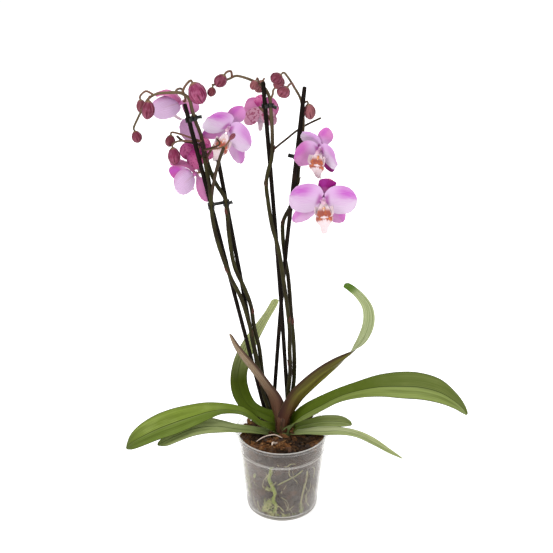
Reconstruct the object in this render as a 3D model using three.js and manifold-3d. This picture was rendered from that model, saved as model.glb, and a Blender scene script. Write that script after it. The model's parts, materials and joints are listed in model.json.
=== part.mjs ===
// Potted orchid: clear nursery pot, bark, crown with roots, leaves, flower spikes on stakes,
// blooms and buds. Millimetres, +Z up, the pot's axis on Z and its foot on z = 0.
import * as THREE from "three";
import { mergeVertices } from "three/addons/utils/BufferGeometryUtils.js";
import Module from "manifold-3d";

const wasm = await Module();
wasm.setup();

const GAP = 0.35;
const POT_SIDES = 28;
const POT_HEIGHT = 112;
const RIM_RADIUS = 60;
const STAKE_RADIUS = 2.5;
const STAKE_STEPS = 5;
const SPIKE_RADIUS = 2.2;
const LEAF_THICKNESS = 1.4;
const PETAL_THICKNESS = 0.8;
const HUB_BACK = 3.6;
const HUB_FRONT = 2.4;
const LIP_GAP = 0.8;
const UP = new THREE.Vector3(0, 0, 1);

// Colours, roughly those of each piece.
const CLEAR_PLASTIC = "#c9c6c4";
const BARK_BROWN = "#5a3524";
const CROWN_MAUVE = "#6b4a45";
const LEAF_GREEN = "#5d8436";
const LEAF_DARK = "#3f6a2a";
const LEAF_YOUNG = "#8a7660";
const STEM_OLIVE = "#4b4526";
const STAKE_BLACK = "#1b1512";
const CLIP_BLACK = "#20211f";
const PETAL_LILAC = "#d39ddb";
const PETAL_BACK = "#c37aae";
const LIP_PINK = "#e8c8cf";
const BUD_PINK = "#b0587c";
const BUD_WINE = "#743048";

const vector = (p) => new THREE.Vector3(p[0], p[1], p[2]);
const smooth = (path) => new THREE.CatmullRomCurve3(path.map(vector), false, "centripetal");

// A closed geometry as a solid: its vertices merged and faces of no area left out.
function toSolid(geometry) {
  const MERGE_DISTANCE = 1e-4;
  const bare = new THREE.BufferGeometry();
  bare.setAttribute("position", geometry.getAttribute("position"));
  bare.setIndex(geometry.getIndex());
  const merged = mergeVertices(bare, MERGE_DISTANCE);
  const index = merged.getIndex().array;
  const kept = [];
  for (let i = 0; i < index.length; i += 3) {
    const [a, b, c] = [index[i], index[i + 1], index[i + 2]];
    if (a !== b && b !== c && c !== a) {
      kept.push(a, b, c);
    }
  }
  const vertProperties = new Float32Array(merged.getAttribute("position").array);
  const triVerts = new Uint32Array(kept);
  return new wasm.Manifold(new wasm.Mesh({ numProp: 3, vertProperties, triVerts }));
}

// A round bar along a smooth path.
function tube(path, radius, sides = 6, steps = path.length * 2) {
  const corners = [];
  for (let j = 0; j < sides; j += 1) {
    const angle = (2 * Math.PI * j) / sides;
    corners.push(new THREE.Vector2(radius * Math.cos(angle), radius * Math.sin(angle)));
  }
  const options = { steps, extrudePath: smooth(path), bevelEnabled: false };
  return toSolid(new THREE.ExtrudeGeometry(new THREE.Shape(corners), options));
}

// The straight-sided line that a tube of so many steps follows.
function lineOf(path, steps) {
  return smooth(path).getSpacedPoints(steps);
}

// The point of a straight-sided line that is nearest to a given point.
function nearestOn(line, point) {
  const at = vector(point);
  let best = line[0];
  for (let i = 0; i + 1 < line.length; i += 1) {
    const near = new THREE.Line3(line[i], line[i + 1]).closestPointToPoint(at, true, new THREE.Vector3());
    if (near.distanceTo(at) < best.distanceTo(at)) {
      best = near;
    }
  }
  return best.toArray();
}

// A round body from base to tip, with its radius given at fractions of its length.
function drop(base, tip, profile, sides) {
  const from = vector(base);
  const axis = vector(tip).sub(from);
  const reach = axis.length();
  const outline = profile.map(([t, r]) => new THREE.Vector2(r, t * reach));
  const ends = [new THREE.Vector2(0, 0), new THREE.Vector2(0, reach)];
  const geometry = new THREE.LatheGeometry([ends[0], ...outline, ends[1]], sides);
  const turn = new THREE.Quaternion().setFromUnitVectors(new THREE.Vector3(0, 1, 0), axis.normalize());
  geometry.applyQuaternion(turn);
  geometry.translate(from.x, from.y, from.z);
  return toSolid(geometry);
}

// A blade: stations hold centre, half width, the way the upper face looks, and fold.
function blade(stations, thickness, cells) {
  const rows = stations.length;
  const upper = [];
  const lower = [];
  stations.forEach((station, i) => {
    const before = stations[Math.max(i - 1, 0)].at;
    const after = stations[Math.min(i + 1, rows - 1)].at;
    const along = after.clone().sub(before).normalize();
    const side = new THREE.Vector3().crossVectors(along, station.face).normalize();
    const face = new THREE.Vector3().crossVectors(side, along).normalize();
    for (let j = 0; j <= cells; j += 1) {
      const a = (2 * j) / cells - 1;
      const middle = station.at
        .clone()
        .addScaledVector(side, a * station.half)
        .addScaledVector(face, station.fold * station.half * Math.abs(a));
      upper.push(middle.clone().addScaledVector(face, thickness / 2));
      lower.push(middle.clone().addScaledVector(face, -thickness / 2));
    }
  });
  const points = upper.concat(lower);
  const row = cells + 1;
  const under = upper.length;
  const faces = [];
  for (let i = 0; i + 1 < rows; i += 1) {
    for (let j = 0; j < cells; j += 1) {
      const a = i * row + j;
      const b = a + 1;
      const c = a + row;
      const d = c + 1;
      faces.push([a, d, c], [a, b, d]);
      faces.push([under + a, under + c, under + d], [under + a, under + d, under + b]);
    }
    const left = i * row;
    const right = left + cells;
    faces.push([left, under + left + row, under + left], [left, left + row, under + left + row]);
    faces.push([right, under + right + row, right + row], [right, under + right, under + right + row]);
  }
  const end = (rows - 1) * row;
  for (let j = 0; j < cells; j += 1) {
    faces.push([j, under + j + 1, j + 1], [j, under + j, under + j + 1]);
    faces.push([end + j, end + j + 1, under + end + j + 1]);
    faces.push([end + j, under + end + j + 1, under + end + j]);
  }
  const geometry = new THREE.BufferGeometry().setFromPoints(points);
  geometry.setIndex(faces.flat());
  return toSolid(geometry);
}

// A full turn, about Z, of a profile of [radius, height] pairs that starts and ends on the axis.
function turned(profile, sides) {
  const outline = profile.map(([radius, height]) => new THREE.Vector2(radius, height));
  const geometry = new THREE.LatheGeometry(outline, sides);
  geometry.rotateX(Math.PI / 2);
  return toSolid(geometry);
}

// The main body of a solid, without the crumbs that a cut may leave.
function largest(solid) {
  const parts = solid.decompose();
  return parts.reduce((best, part) => (part.volume() > best.volume() ? part : best));
}

const root = new THREE.Group();
root.name = "potted_orchid";

// Adds a solid to the group as a named mesh with its own material.
function place(name, solid, colour, roughness) {
  const mesh = largest(solid).getMesh();
  const stride = mesh.numProp;
  const count = mesh.vertProperties.length / stride;
  const positions = new Float32Array(count * 3);
  for (let i = 0; i < count; i += 1) {
    positions[3 * i] = mesh.vertProperties[stride * i];
    positions[3 * i + 1] = mesh.vertProperties[stride * i + 1];
    positions[3 * i + 2] = mesh.vertProperties[stride * i + 2];
  }
  const geometry = new THREE.BufferGeometry();
  geometry.setAttribute("position", new THREE.BufferAttribute(positions, 3));
  geometry.setIndex(new THREE.BufferAttribute(new Uint32Array(mesh.triVerts), 1));
  geometry.computeVertexNormals();
  const material = new THREE.MeshStandardMaterial({ color: colour, roughness });
  const node = new THREE.Mesh(geometry, material);
  node.name = name;
  root.add(node);
}

// Pot: [outer radius, height] up the outside, and the same less the wall down the inside.
const WALL_OUTSIDE = [
  [43.5, 0],
  [46, 2.6],
  [46.3, 4.4],
  [54.1, 85.5],
  [55.1, 86.4],
  [55.1, 88],
  [54.6, 89],
  [56, 107.5],
  [RIM_RADIUS - 0.6, 107.9],
  [RIM_RADIUS, 108.6],
  [RIM_RADIUS, 111.3],
  [RIM_RADIUS - 0.7, POT_HEIGHT],
];
const FLOOR = 1.6;
const INNER_TOP_RADIUS = 56;
const INNER_STEP_RADIUS = 53.2;
const INNER_FOOT_RADIUS = 44.6;
const STEP_HEIGHT = 86.5;

function innerRadius(height) {
  if (height > STEP_HEIGHT) {
    const share = (height - STEP_HEIGHT) / (POT_HEIGHT - STEP_HEIGHT);
    return INNER_STEP_RADIUS + share * (INNER_TOP_RADIUS - INNER_STEP_RADIUS);
  }
  const share = (height - FLOOR) / (STEP_HEIGHT - FLOOR);
  return INNER_FOOT_RADIUS + share * (INNER_STEP_RADIUS - INNER_FOOT_RADIUS);
}

function makePot() {
  const outside = turned([[0, 0], ...WALL_OUTSIDE, [0, POT_HEIGHT]], POT_SIDES);
  const hollow = turned(
    [
      [0, FLOOR],
      [INNER_FOOT_RADIUS, FLOOR],
      [INNER_STEP_RADIUS, STEP_HEIGHT],
      [INNER_TOP_RADIUS, POT_HEIGHT],
      [INNER_TOP_RADIUS, POT_HEIGHT + 2],
      [0, POT_HEIGHT + 2],
    ],
    POT_SIDES,
  );
  let pot = outside.subtract(hollow);
  const HOLE_COUNT = 6;
  const HOLE_RADIUS = 3.5;
  const HOLE_RING = 30;
  for (let i = 0; i < HOLE_COUNT; i += 1) {
    const angle = (2 * Math.PI * (i + 0.5)) / HOLE_COUNT;
    const x = HOLE_RING * Math.cos(angle);
    const y = HOLE_RING * Math.sin(angle);
    pot = pot.subtract(tube([[x, y, -2], [x, y, FLOOR + 0.2]], HOLE_RADIUS, 10, 1));
  }
  return pot;
}

// Stakes: sticks with a slight bow, from the foot in the bark to the top.
const STAKES = {
  stake_far_left: [[-5.5, 29.5, 42], [-48, 14, 248], [-108, -8, 537]],
  stake_left: [[-10.5, 36.5, 43], [-40, 22, 245], [-74, 6, 470]],
  stake_centre: [[12, 17, 52], [-2, 14, 290], [-22, 10, 557]],
  stake_right: [[-14.5, 43.5, 66], [1.5, 24.5, 315], [24, 4, 556.5]],
};

// Spikes: the main stem's centre line, then side shoots and pedicels as [radius, points].
const SPIKES = {
  spike_left_front: {
    stem: [
      [-15, 20, 88], [-16, 20, 106], [-18, 18, 131], [-24, 17, 153], [-29, 17, 188], [-35, 15.5, 222],
      [-40, 13, 251], [-50, 7, 293], [-62, 2, 323], [-70, 0, 348], [-76, -1.5, 370], [-80.5, -4.2, 395],
      [-82, -5.8, 412], [-82.2, -7.2, 426], [-84.2, -6.6, 447], [-87.2, -4.8, 467], [-91, 0, 492],
    ],
    shoots: [
      [
        1.7,
        [[-83, -4.6, 424], [-80, -8, 439], [-77, -13, 453], [-74, -19, 466], [-70, -26, 480], [-65, -32, 495]],
      ],
      [0.9, [[-65.5, -31, 493], [-69, -32, 500], [-73, -31, 505]]],
      [0.9, [[-65.5, -31, 493], [-63, -32, 497]], "bud_small"],
      [1.2, [[-90, -0.5, 486], [-95, 5, 487], [-104, 8, 488.5], [-113, 6, 491], [-120, 6, 497]]],
      [1.0, [[-118.5, 6, 495.5]], "bud_shoot_upper"],
      [1.0, [[-113, 6, 491], [-119, 2, 491.5]], "bud_shoot_lower"],
      [1.2, [[-86, -3, 450], [-88, 3, 453], [-92, 6.5, 454]], "bloom_left_lower"],
      [1.2, [[-89, -1, 472], [-94, 3, 475], [-96.5, 9, 478]], "bloom_left_back"],
    ],
  },
  spike_left_arch: {
    stem: [
      [-8, 24, 88], [-12, 25.5, 106], [-16, 26, 128], [-21, 24, 153], [-25, 23, 178], [-29, 22, 217],
      [-35, 20, 247], [-38.5, 16, 278], [-46, 12, 304], [-57, 9, 333], [-63, 7, 374], [-65, 4.5, 409],
      [-67, 3.5, 424], [-77, 4, 441], [-83, 6, 456], [-87.5, 8.5, 472], [-93, 7.5, 499], [-97.5, 3, 514],
      [-101, -1.5, 530], [-103.5, -1.5, 541], [-112, -6.5, 549], [-125, -13, 551], [-139, -16, 550],
      [-147, -18, 545], [-153, -20, 535], [-159, -20.5, 524],
    ],
    thinFrom: 20,
    end: "bud_tail_end",
    shoots: [
      [1.2, [[-111, -6.5, 548.5], [-107, -8.5, 557]], "bud_large"],
      [1.0, [[-141, -16, 549.5], [-149, -14, 553]], "bud_tail_back"],
      [1.0, [[-144, -17, 547], [-144, -21, 549]], "bud_tail_front"],
      [0.9, [[-153, -20, 535], [-149.5, -20.5, 531], [-146.5, -21, 531]]],
      [1.2, [[-87, 8, 470], [-80, 13, 481], [-72, 17, 494]], "bloom_left"],
      [1.1, [[-118, -9.5, 550.5], [-116.5, -3, 552], [-112, 4, 551]], "bloom_far_left"],
    ],
  },
  spike_centre: {
    stem: [
      [5.5, 12, 88], [6, 11.5, 106], [6.5, 9.5, 130], [7, 9, 152], [10, 9, 193], [9, 8.5, 221], [9, 8, 250],
      [7, 7.5, 271], [2, 7.5, 311], [-4, 7, 353], [-7.5, 6.4, 369], [-12, 6, 386], [-17, 6, 418],
      [-19, 6, 440], [-17, 5.2, 455], [-13, 5.2, 469], [-12, 6.5, 480], [-12, 8.5, 502], [-13.5, 12, 524],
      [-15, 15.5, 538], [-21, 18.5, 549], [-32, 14, 557], [-42, 10, 562], [-52, 6, 565], [-58, 3, 563],
      [-67, 0, 560], [-77, -3, 557],
    ],
    thinFrom: 21,
    end: "bud_arch_end",
    shoots: [
      [1.1, [[-12, 6.6, 479], [-4, 11, 485], [4, 16, 490], [15, 20, 498], [27, 19, 506], [43, 12, 516]]],
      [1.1, [[-15, 13.5, 535], [-11.5, 14, 542]], "bud_tip_back"],
      [0.9, [[-24, 17.5, 551.5]], "bud_pale"],
      [0.9, [[-27, 16, 554]], "bud_dark"],
      [1.1, [[-56, 4, 564.5], [-57, -2, 572]], "bud_arch"],
      [1.2, [[-12, 8.5, 505], [-14.5, 16, 513]], "bloom_behind"],
    ],
  },
  spike_right: {
    stem: [
      [14, 13, 88], [13.5, 13, 106], [11.5, 13, 130], [12, 13.5, 147], [15, 16, 174], [15, 20, 213],
      [11, 25, 263], [7, 30, 312], [3, 29.5, 338], [0, 28, 373], [1, 27, 386], [10, 22.5, 408],
      [17, 19.3, 437], [18.3, 17.8, 453], [21, 15.8, 482], [23, 13.8, 509], [22, 12.8, 525], [20, 12, 537],
      [12, 6, 553], [6, 0, 564],
    ],
    thinFrom: 17,
    end: "bud_tip_left",
    shoots: [
      [1.0, [[12, 6, 553], [10, 0, 558]], "bud_tip_right"],
      [1.0, [[22, 12.8, 525], [23.6, 12.6, 532.5]], "bud_by_stake"],
      [1.2, [[22, 14.5, 497], [29, 10, 499]], "bloom_right_upper"],
      [1.2, [[17, 19.3, 438], [26, 15, 446], [37, 6, 444]], "bloom_right"],
    ],
  },
};

// Stems: radius of the arches at the top, and the length of a straight piece of each tube.
const ARCH_RADIUS = 1.7;
const STEM_STEP = 24;
const ARCH_STEP = 13;
const SHOOT_STEP = 7;
const ROOT_STEP = 17;

// Where a pedicel meets the bloom or bud it carries: two points on that piece's axis.
function approach(name) {
  const PAUSE = 2.6;
  if (BUDS[name]) {
    const base = vector(BUDS[name].base);
    const along = vector(BUDS[name].tip).sub(base).normalize();
    const end = base.clone().addScaledVector(along, -GAP - 0.1);
    return [end.clone().addScaledVector(along, -PAUSE), end].map((p) => p.toArray());
  }
  const basis = flowerBasis(BLOOMS[name]);
  const back = -HUB_BACK * basis.size - GAP - 0.1;
  return [back - PAUSE, back].map((z) => basis.centre.clone().addScaledVector(basis.out, z).toArray());
}

function stepsFor(path, step) {
  return Math.max(2, Math.round(smooth(path).getLength() / step));
}

function lowerStem(spike) {
  return spike.thinFrom ? spike.stem.slice(0, spike.thinFrom + 1) : spike.stem;
}

function makeSpike(spike) {
  const lower = lowerStem(spike);
  const lowerSteps = stepsFor(lower, STEM_STEP);
  let line = lineOf(lower, lowerSteps);
  let solid = tube(lower, SPIKE_RADIUS, 6, lowerSteps);
  if (spike.thinFrom) {
    const OVERLAP = 2;
    const upper = spike.stem.slice(spike.thinFrom - OVERLAP).concat(approach(spike.end));
    const upperSteps = stepsFor(upper, ARCH_STEP);
    const upperLine = lineOf(upper, upperSteps);
    solid = solid.add(tube(upper, ARCH_RADIUS, 6, upperSteps));
    line = line.concat(upperLine.filter((p) => p.distanceTo(upperLine[0]) > STEM_STEP));
  }
  for (const [radius, own, carried] of spike.shoots) {
    const path = [nearestOn(line, own[0]), ...own.slice(1)].concat(carried ? approach(carried) : []);
    solid = solid.add(tube(path, radius, 4, stepsFor(path, SHOOT_STEP)));
  }
  return solid;
}

// Crown: a short leafy stem, its roots going down to the pot's wall and one lying on the bark.
const CROWN_FOOT = [-1, 0, 95];
const CROWN_TOP = [1, -1.5, 137];
// Roots: [radius, points from the crown outward, then points on the wall as [degrees, height]].
const ROOTS = [
  [2.5, [[-2, -3, 99], [-7, -22, 94]], [[258, 84], [258, 62], [258, 42], [257, 24]]],
  [1.7, [[2, -3, 99], [17, -25, 95]], [[300, 88], [285, 82], [270, 75], [260, 68]]],
  [2.0, [[3, -2, 99], [20, -18, 92]], [[310, 78], [309, 60], [308, 42], [306, 24]]],
  [1.8, [[-9.2, -43.3, 33]], [[250, 31], [242, 22], [236, 12]]],
  [2.3, [[-3, 0, 99], [-28, -8, 92]], [[196, 78], [200, 56], [206, 32]]],
  [2.3, [[2, 2, 99], [26, 9, 91]], [[22, 76], [15, 52], [12, 28]]],
  [2.3, [[-2, 2, 99], [-3, 26, 85]], [[88, 62], [92, 42], [100, 20]]],
];
const SURFACE_ROOTS = [
  [1.5, [[-2, -6, 104], [-5, -17, 109], [-12, -23, 111.5], [-21, -27, 110.5], [-28, -31, 108]]],
  [1.9, [[0, -6, 103], [-1, -17, 108.5], [-5, -24, 109.6], [-7, -29, 107.6]]],
];

function rootPath([radius, inner, onWall]) {
  const FLAT = Math.cos(Math.PI / POT_SIDES);
  const ROOM = 0.7;
  const TURN_ROOM = 3;
  const outer = onWall.map(([degrees, height], i) => {
    const angle = THREE.MathUtils.degToRad(degrees);
    const r = innerRadius(height) * FLAT - (i === 0 ? TURN_ROOM : ROOM) - radius;
    return [r * Math.cos(angle), r * Math.sin(angle), height];
  });
  return inner.concat(outer);
}

const CROWN_PROFILE = [[0, 7.4], [0.12, 8.4], [0.45, 9.2], [0.8, 8.8], [1, 7.6]];

// The same path, its end carried on straight.
function lengthened(points, extra) {
  const [before, end] = points.slice(-2).map((p) => new THREE.Vector3(...p));
  const beyond = end.clone().sub(before).setLength(extra).add(end);
  return [...points.slice(0, -1), beyond.toArray()];
}

function crownColumn(extra) {
  const [foot, top] = [CROWN_FOOT, CROWN_TOP].map(vector);
  const along = top.clone().sub(foot).normalize();
  const base = foot.addScaledVector(along, -extra).toArray();
  const tip = top.addScaledVector(along, extra).toArray();
  const profile = CROWN_PROFILE.map(([t, r]) => [t, r + extra]);
  return drop(base, tip, profile, 12);
}

function makeCrown() {
  let solid = crownColumn(0);
  for (const root of ROOTS) {
    const path = rootPath(root);
    solid = solid.add(tube(path, root[0], 5, stepsFor(path, ROOT_STEP)));
  }
  for (const [radius, path] of SURFACE_ROOTS) {
    solid = solid.add(tube(path, radius, 5, stepsFor(path, SHOOT_STEP)));
  }
  return solid;
}

// Bark: a plug that fills the pot, with chips standing out of its top.
const BARK_TOP = 104;
const BARK_SHOULDER_RADIUS = 46;
const CHIP_COUNT = 16;
const CHIP_RING = [15, 45];
const CHIP_SIZE = { length: [10, 17], width: [6, 10], height: [5, 7] };
const CHIP_RISE = [-0.5, 1.1];
const CHIP_TILT = 0.25;
const GOLDEN_ANGLE = Math.PI * (3 - Math.sqrt(5));
const CUT_ROOM = 0.5;

// Random numbers from 0 to 1 that come out the same each time.
function seeded(seed) {
  const MULTIPLIER = 16807;
  const MODULUS = 2 ** 31 - 1;
  let state = seed;
  return () => {
    state = (state * MULTIPLIER) % MODULUS;
    return state / MODULUS;
  };
}

function makeChip(i, random) {
  const between = ([low, high]) => low + (high - low) * random();
  const angle = GOLDEN_ANGLE * i;
  const [nearest, farthest] = CHIP_RING;
  const ring = nearest + (farthest - nearest) * Math.sqrt((i + 0.5) / CHIP_COUNT);
  const height = BARK_TOP + between(CHIP_RISE);
  const centre = new THREE.Vector3(ring * Math.cos(angle), ring * Math.sin(angle), height);
  const tilts = [between([-CHIP_TILT, CHIP_TILT]), between([-CHIP_TILT, CHIP_TILT])];
  const turn = new THREE.Euler(...tilts, Math.PI * random());
  const matrix = new THREE.Matrix4().makeRotationFromEuler(turn).setPosition(centre);
  const { length, width, height: thickness } = CHIP_SIZE;
  const box = new THREE.BoxGeometry(between(length), between(width), between(thickness));
  return toSolid(box.applyMatrix4(matrix));
}

function makeBark() {
  const random = seeded(7);
  let bark = turned(
    [
      [0, FLOOR + GAP],
      [innerRadius(FLOOR) - GAP, FLOOR + GAP],
      [innerRadius(STEP_HEIGHT) - GAP, STEP_HEIGHT],
      [innerRadius(BARK_TOP - 1) - GAP, BARK_TOP - 1],
      [BARK_SHOULDER_RADIUS, BARK_TOP],
      [0, BARK_TOP],
    ],
    POT_SIDES,
  );
  for (let i = 0; i < CHIP_COUNT; i += 1) {
    bark = bark.add(makeChip(i, random));
  }
  const keepIn = turned(
    [
      [0, 0],
      [innerRadius(STEP_HEIGHT) - GAP, 0],
      [innerRadius(STEP_HEIGHT) - GAP, STEP_HEIGHT],
      [innerRadius(POT_HEIGHT) - GAP, POT_HEIGHT],
      [0, POT_HEIGHT],
    ],
    POT_SIDES,
  );
  bark = bark.intersect(keepIn);
  for (const name of Object.keys(STAKES).concat(Object.keys(SPIKES))) {
    const { path, radius } = rod(name);
    const foot = vector(path[0]);
    const ahead = vector(path[1]).sub(foot).normalize();
    const socket = [foot.clone().addScaledVector(ahead, -GAP), foot.clone().addScaledVector(ahead, 2)];
    const points = socket.map((p) => p.toArray());
    bark = bark.subtract(fatter(name)).subtract(tube(points, radius + GAP + 0.1, 8, 1));
  }
  bark = bark.subtract(crownColumn(1.5 * GAP));
  for (const root of ROOTS) {
    const path = rootPath(root);
    const steps = stepsFor(path, ROOT_STEP);
    bark = bark.subtract(tube(lengthened(path, GAP), root[0] + CUT_ROOM, 5, steps));
  }
  for (const [radius, path] of SURFACE_ROOTS) {
    bark = bark.subtract(tube(path, radius + CUT_ROOM, 5, stepsFor(path, SHOOT_STEP)));
  }
  return bark;
}

// Leaves: [x, y, z, half width, the way the upper face looks, fold].
const LEAVES = {
  leaf_left_upper: {
    colour: LEAF_GREEN,
    stations: [
      [-6.5, -1, 112, 8, [0.6, 0.05, 0.8], 0.35],
      [-27, -8.5, 123, 9, [0.5, 0.05, 0.86], 0.3],
      [-49, -8, 145, 16, [0.45, -0.05, 0.89], 0.25],
      [-75, -11, 153, 23, [0, -0.15, 1], 0.2],
      [-92, -14, 152, 26, [-0.1, -0.25, 0.96], 0.16],
      [-114, -17, 145, 28, [-0.25, -0.3, 0.92], 0.14],
      [-136, -20, 138, 27, [-0.3, -0.3, 0.9], 0.12],
      [-157, -24, 130, 24, [-0.3, -0.2, 0.93], 0.12],
      [-177, -28, 121, 17, [-0.4, -0.2, 0.9], 0.1],
      [-195, -32, 106, 2.5, [-0.5, -0.2, 0.85], 0.1],
    ],
  },
  leaf_left_lower: {
    colour: LEAF_GREEN,
    stations: [
      [-6, -4, 107, 6, [0.4, 0, 0.9], 0.3],
      [-31, -12, 116.5, 12, [0.4, 0, 0.9], 0.25],
      [-58, -16, 124, 19, [0.2, -0.1, 0.97], 0.2],
      [-75, -18, 127, 22, [0.05, -0.15, 0.98], 0.16],
      [-92, -20, 128, 22, [-0.1, -0.2, 0.97], 0.14],
      [-116, -23, 124, 19, [-0.3, -0.2, 0.93], 0.12],
      [-138, -26, 115, 13, [-0.4, -0.2, 0.9], 0.1],
      [-157, -28, 105, 2.5, [-0.4, -0.2, 0.9], 0.1],
    ],
  },
  leaf_rear: {
    colour: LEAF_DARK,
    stations: [
      [-5.5, 4, 128, 6, [0.1, -0.75, 0.6], 0.1],
      [-26, 10, 129, 7, [0.2, -0.9, 0.45], 0.15],
      [-42, 15, 135, 10, [0.3, -0.85, 0.5], 0.2],
      [-53, 24, 149, 12, [0.4, -0.8, 0.45], 0.2],
      [-57, 34, 167, 13, [0.5, -0.8, 0.35], 0.2],
      [-53, 43, 187, 13, [0.55, -0.8, 0.3], 0.18],
      [-43, 49, 209, 12, [0.6, -0.75, 0], 0.16],
      [-31, 51, 229, 10, [0.6, -0.75, -0.2], 0.14],
      [-19, 51, 251, 7.5, [0.6, -0.75, -0.3], 0.12],
      [-9, 50, 266, 2.5, [0.55, -0.75, -0.35], 0.1],
    ],
  },
  leaf_young: {
    colour: LEAF_YOUNG,
    stations: [
      [-2.5, 3.6, 136, 6, [0.25, 0.9, 0.3], 0.35],
      [-8.5, 0, 157, 8, [0.3, 0.8, 0.35], 0.4],
      [-19, -6, 178, 8.3, [0.35, 0.75, 0.4], 0.4],
      [-32, -10, 202, 7.6, [0.4, 0.75, 0.4], 0.35],
      [-46, -13, 224, 6.4, [0.4, 0.75, 0.4], 0.3],
      [-56, -15, 241, 4.6, [0.45, 0.75, 0.4], 0.3],
      [-63, -16, 255, 1.6, [0.45, 0.75, 0.4], 0.2],
    ],
  },
  leaf_upright: {
    colour: LEAF_YOUNG,
    stations: [
      [2.5, -4.6, 136, 7, [-0.3, 0.8, 0.4], 0.35],
      [12, -7, 159, 10.5, [-0.45, 0.75, 0.45], 0.3],
      [28, -8, 178.5, 12.5, [-0.5, 0.7, 0.5], 0.26],
      [45.5, -10, 195, 13, [-0.5, 0.65, 0.55], 0.22],
      [64.5, -11, 211, 12, [-0.6, 0.5, 0.62], 0.18],
      [80, -12, 227, 10.5, [-0.74, 0.2, 0.63], 0.16],
      [93, -12, 242, 10, [-0.85, -0.25, 0.45], 0.15],
      [102, -12, 258, 10, [-0.8, -0.5, 0.25], 0.15],
      [105, -12, 275, 9.8, [-0.75, -0.65, 0.05], 0.15],
      [102, -12, 291, 9.2, [-0.6, -0.7, -0.2], 0.15],
      [93, -12, 304, 8.4, [-0.5, -0.75, -0.35], 0.15],
      [82, -12, 313, 7.6, [-0.35, -0.8, -0.5], 0.15],
      [73, -12, 318, 5.4, [-0.3, -0.8, -0.5], 0.1],
    ],
  },
  leaf_right_upper: {
    colour: LEAF_GREEN,
    stations: [
      [6, -2, 118, 8, [-0.6, -0.05, 0.8], 0.35],
      [24, -4, 134, 11, [-0.6, -0.05, 0.8], 0.3],
      [48, -5, 155, 17, [-0.5, -0.2, 0.85], 0.26],
      [72, -7, 168, 22, [-0.35, -0.25, 0.9], 0.22],
      [97, -9, 176, 25, [-0.2, -0.3, 0.94], 0.18],
      [121, -11, 181, 27, [-0.1, -0.25, 0.97], 0.15],
      [146, -13, 183.5, 28, [0, -0.25, 0.97], 0.13],
      [170, -15, 183, 28, [0.1, -0.25, 0.96], 0.12],
      [195, -18, 177, 24, [0.3, -0.25, 0.92], 0.1],
      [214, -20, 168, 17, [0.5, -0.2, 0.85], 0.1],
      [230, -22, 149, 2.5, [0.7, -0.2, 0.7], 0.1],
    ],
  },
  leaf_right_short: {
    colour: LEAF_DARK,
    stations: [
      [6, 2, 106.5, 4, [-0.1, -0.05, 1], 0.2],
      [18, 6, 109, 6, [-0.15, -0.1, 1], 0.2],
      [28, 12, 111.5, 10, [-0.15, -0.15, 1], 0.16],
      [40, 18, 113.8, 14, [-0.1, -0.1, 1], 0.12],
      [56, 25, 115.6, 17, [0, -0.1, 1], 0.1],
      [74, 32, 114.5, 15, [0.15, -0.1, 1], 0.1],
      [91, 38, 109, 5, [0.3, -0.1, 0.95], 0.1],
    ],
  },
  leaf_right_lower: {
    colour: LEAF_GREEN,
    stations: [
      [6, -4.5, 109.5, 5, [-0.3, 0, 0.95], 0.3],
      [26, -10, 114.5, 9, [-0.3, -0.05, 0.95], 0.25],
      [50, -16, 120, 13, [-0.2, -0.1, 0.97], 0.2],
      [74, -20, 123.5, 15, [0, -0.1, 0.98], 0.16],
      [94, -22, 120, 14.5, [0.3, -0.1, 0.93], 0.14],
      [116, -24, 108, 11.5, [0.45, -0.1, 0.88], 0.12],
      [136, -26, 96, 7.5, [0.5, -0.1, 0.86], 0.1],
      [153, -28, 84, 1.8, [0.5, -0.1, 0.86], 0.1],
    ],
  },
};

function leafStations(table) {
  const curve = new THREE.CatmullRomCurve3(table.map(vector), false, "centripetal");
  return table.map((row, i) => ({
    at: curve.getPoint(i / (table.length - 1)),
    half: row[3],
    face: vector(row[4]).normalize(),
    fold: row[5],
  }));
}

// A leaf starts inside the crown and is cut back to clasp it.
function makeLeaf(leaf) {
  return blade(leafStations(leaf.stations), LEAF_THICKNESS, 4).subtract(crownColumn(GAP));
}

// Blooms: centre, the way the face looks, clockwise roll in degrees, size, and leans in
// degrees of dorsal sepal, side petals and lower sepals out of the flower's plane.
const BLOOMS = {
  bloom_far_left: {
    at: [-121, 14, 541],
    look: [-0.45, -0.3, -0.84],
    roll: 0,
    size: 0.78,
    leans: [45, 38, 25],
  },
  bloom_left: {
    at: [-61, 5, 507],
    look: [-0.12, -0.93, -0.3],
    roll: 38,
    size: 0.88,
    leans: [8, 12, 12],
  },
  bloom_behind: {
    at: [-26, 33, 522],
    look: [0.1, 0.92, -0.35],
    roll: 0,
    size: 0.66,
    leans: [28, 28, 25],
  },
  bloom_right_upper: {
    at: [42, -9, 487],
    look: [-0.35, -0.8, -0.42],
    roll: 20,
    size: 0.88,
    leans: [12, 24, 12],
  },
  bloom_right: {
    at: [46, -12, 427],
    look: [0.02, -0.95, -0.24],
    roll: 0,
    size: 1,
    leans: [18, 10, 14],
  },
  bloom_left_lower: {
    at: [-101, 8, 451],
    look: [-0.83, -0.45, -0.3],
    roll: 0,
    size: 0.78,
    leans: [46, 36, 18],
  },
  bloom_left_back: {
    at: [-97, 20, 481],
    look: [-0.35, 0.75, -0.45],
    roll: 12,
    size: 0.76,
    leans: [22, 22, 18],
  },
};

// Sepals and petals: length and half width, angle from the top, and depth behind or ahead.
const DORSAL = { angle: 0, length: 35, half: 12.5, depth: -1.8 };
const SEPAL = { angle: 132, length: 35, half: 11.5, depth: -1.8 };
const PETAL = { angle: 80, length: 38, half: 19.5, depth: 1 };
const CUP = 0.35;
const TEPAL_FOLD = 0.14;
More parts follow.
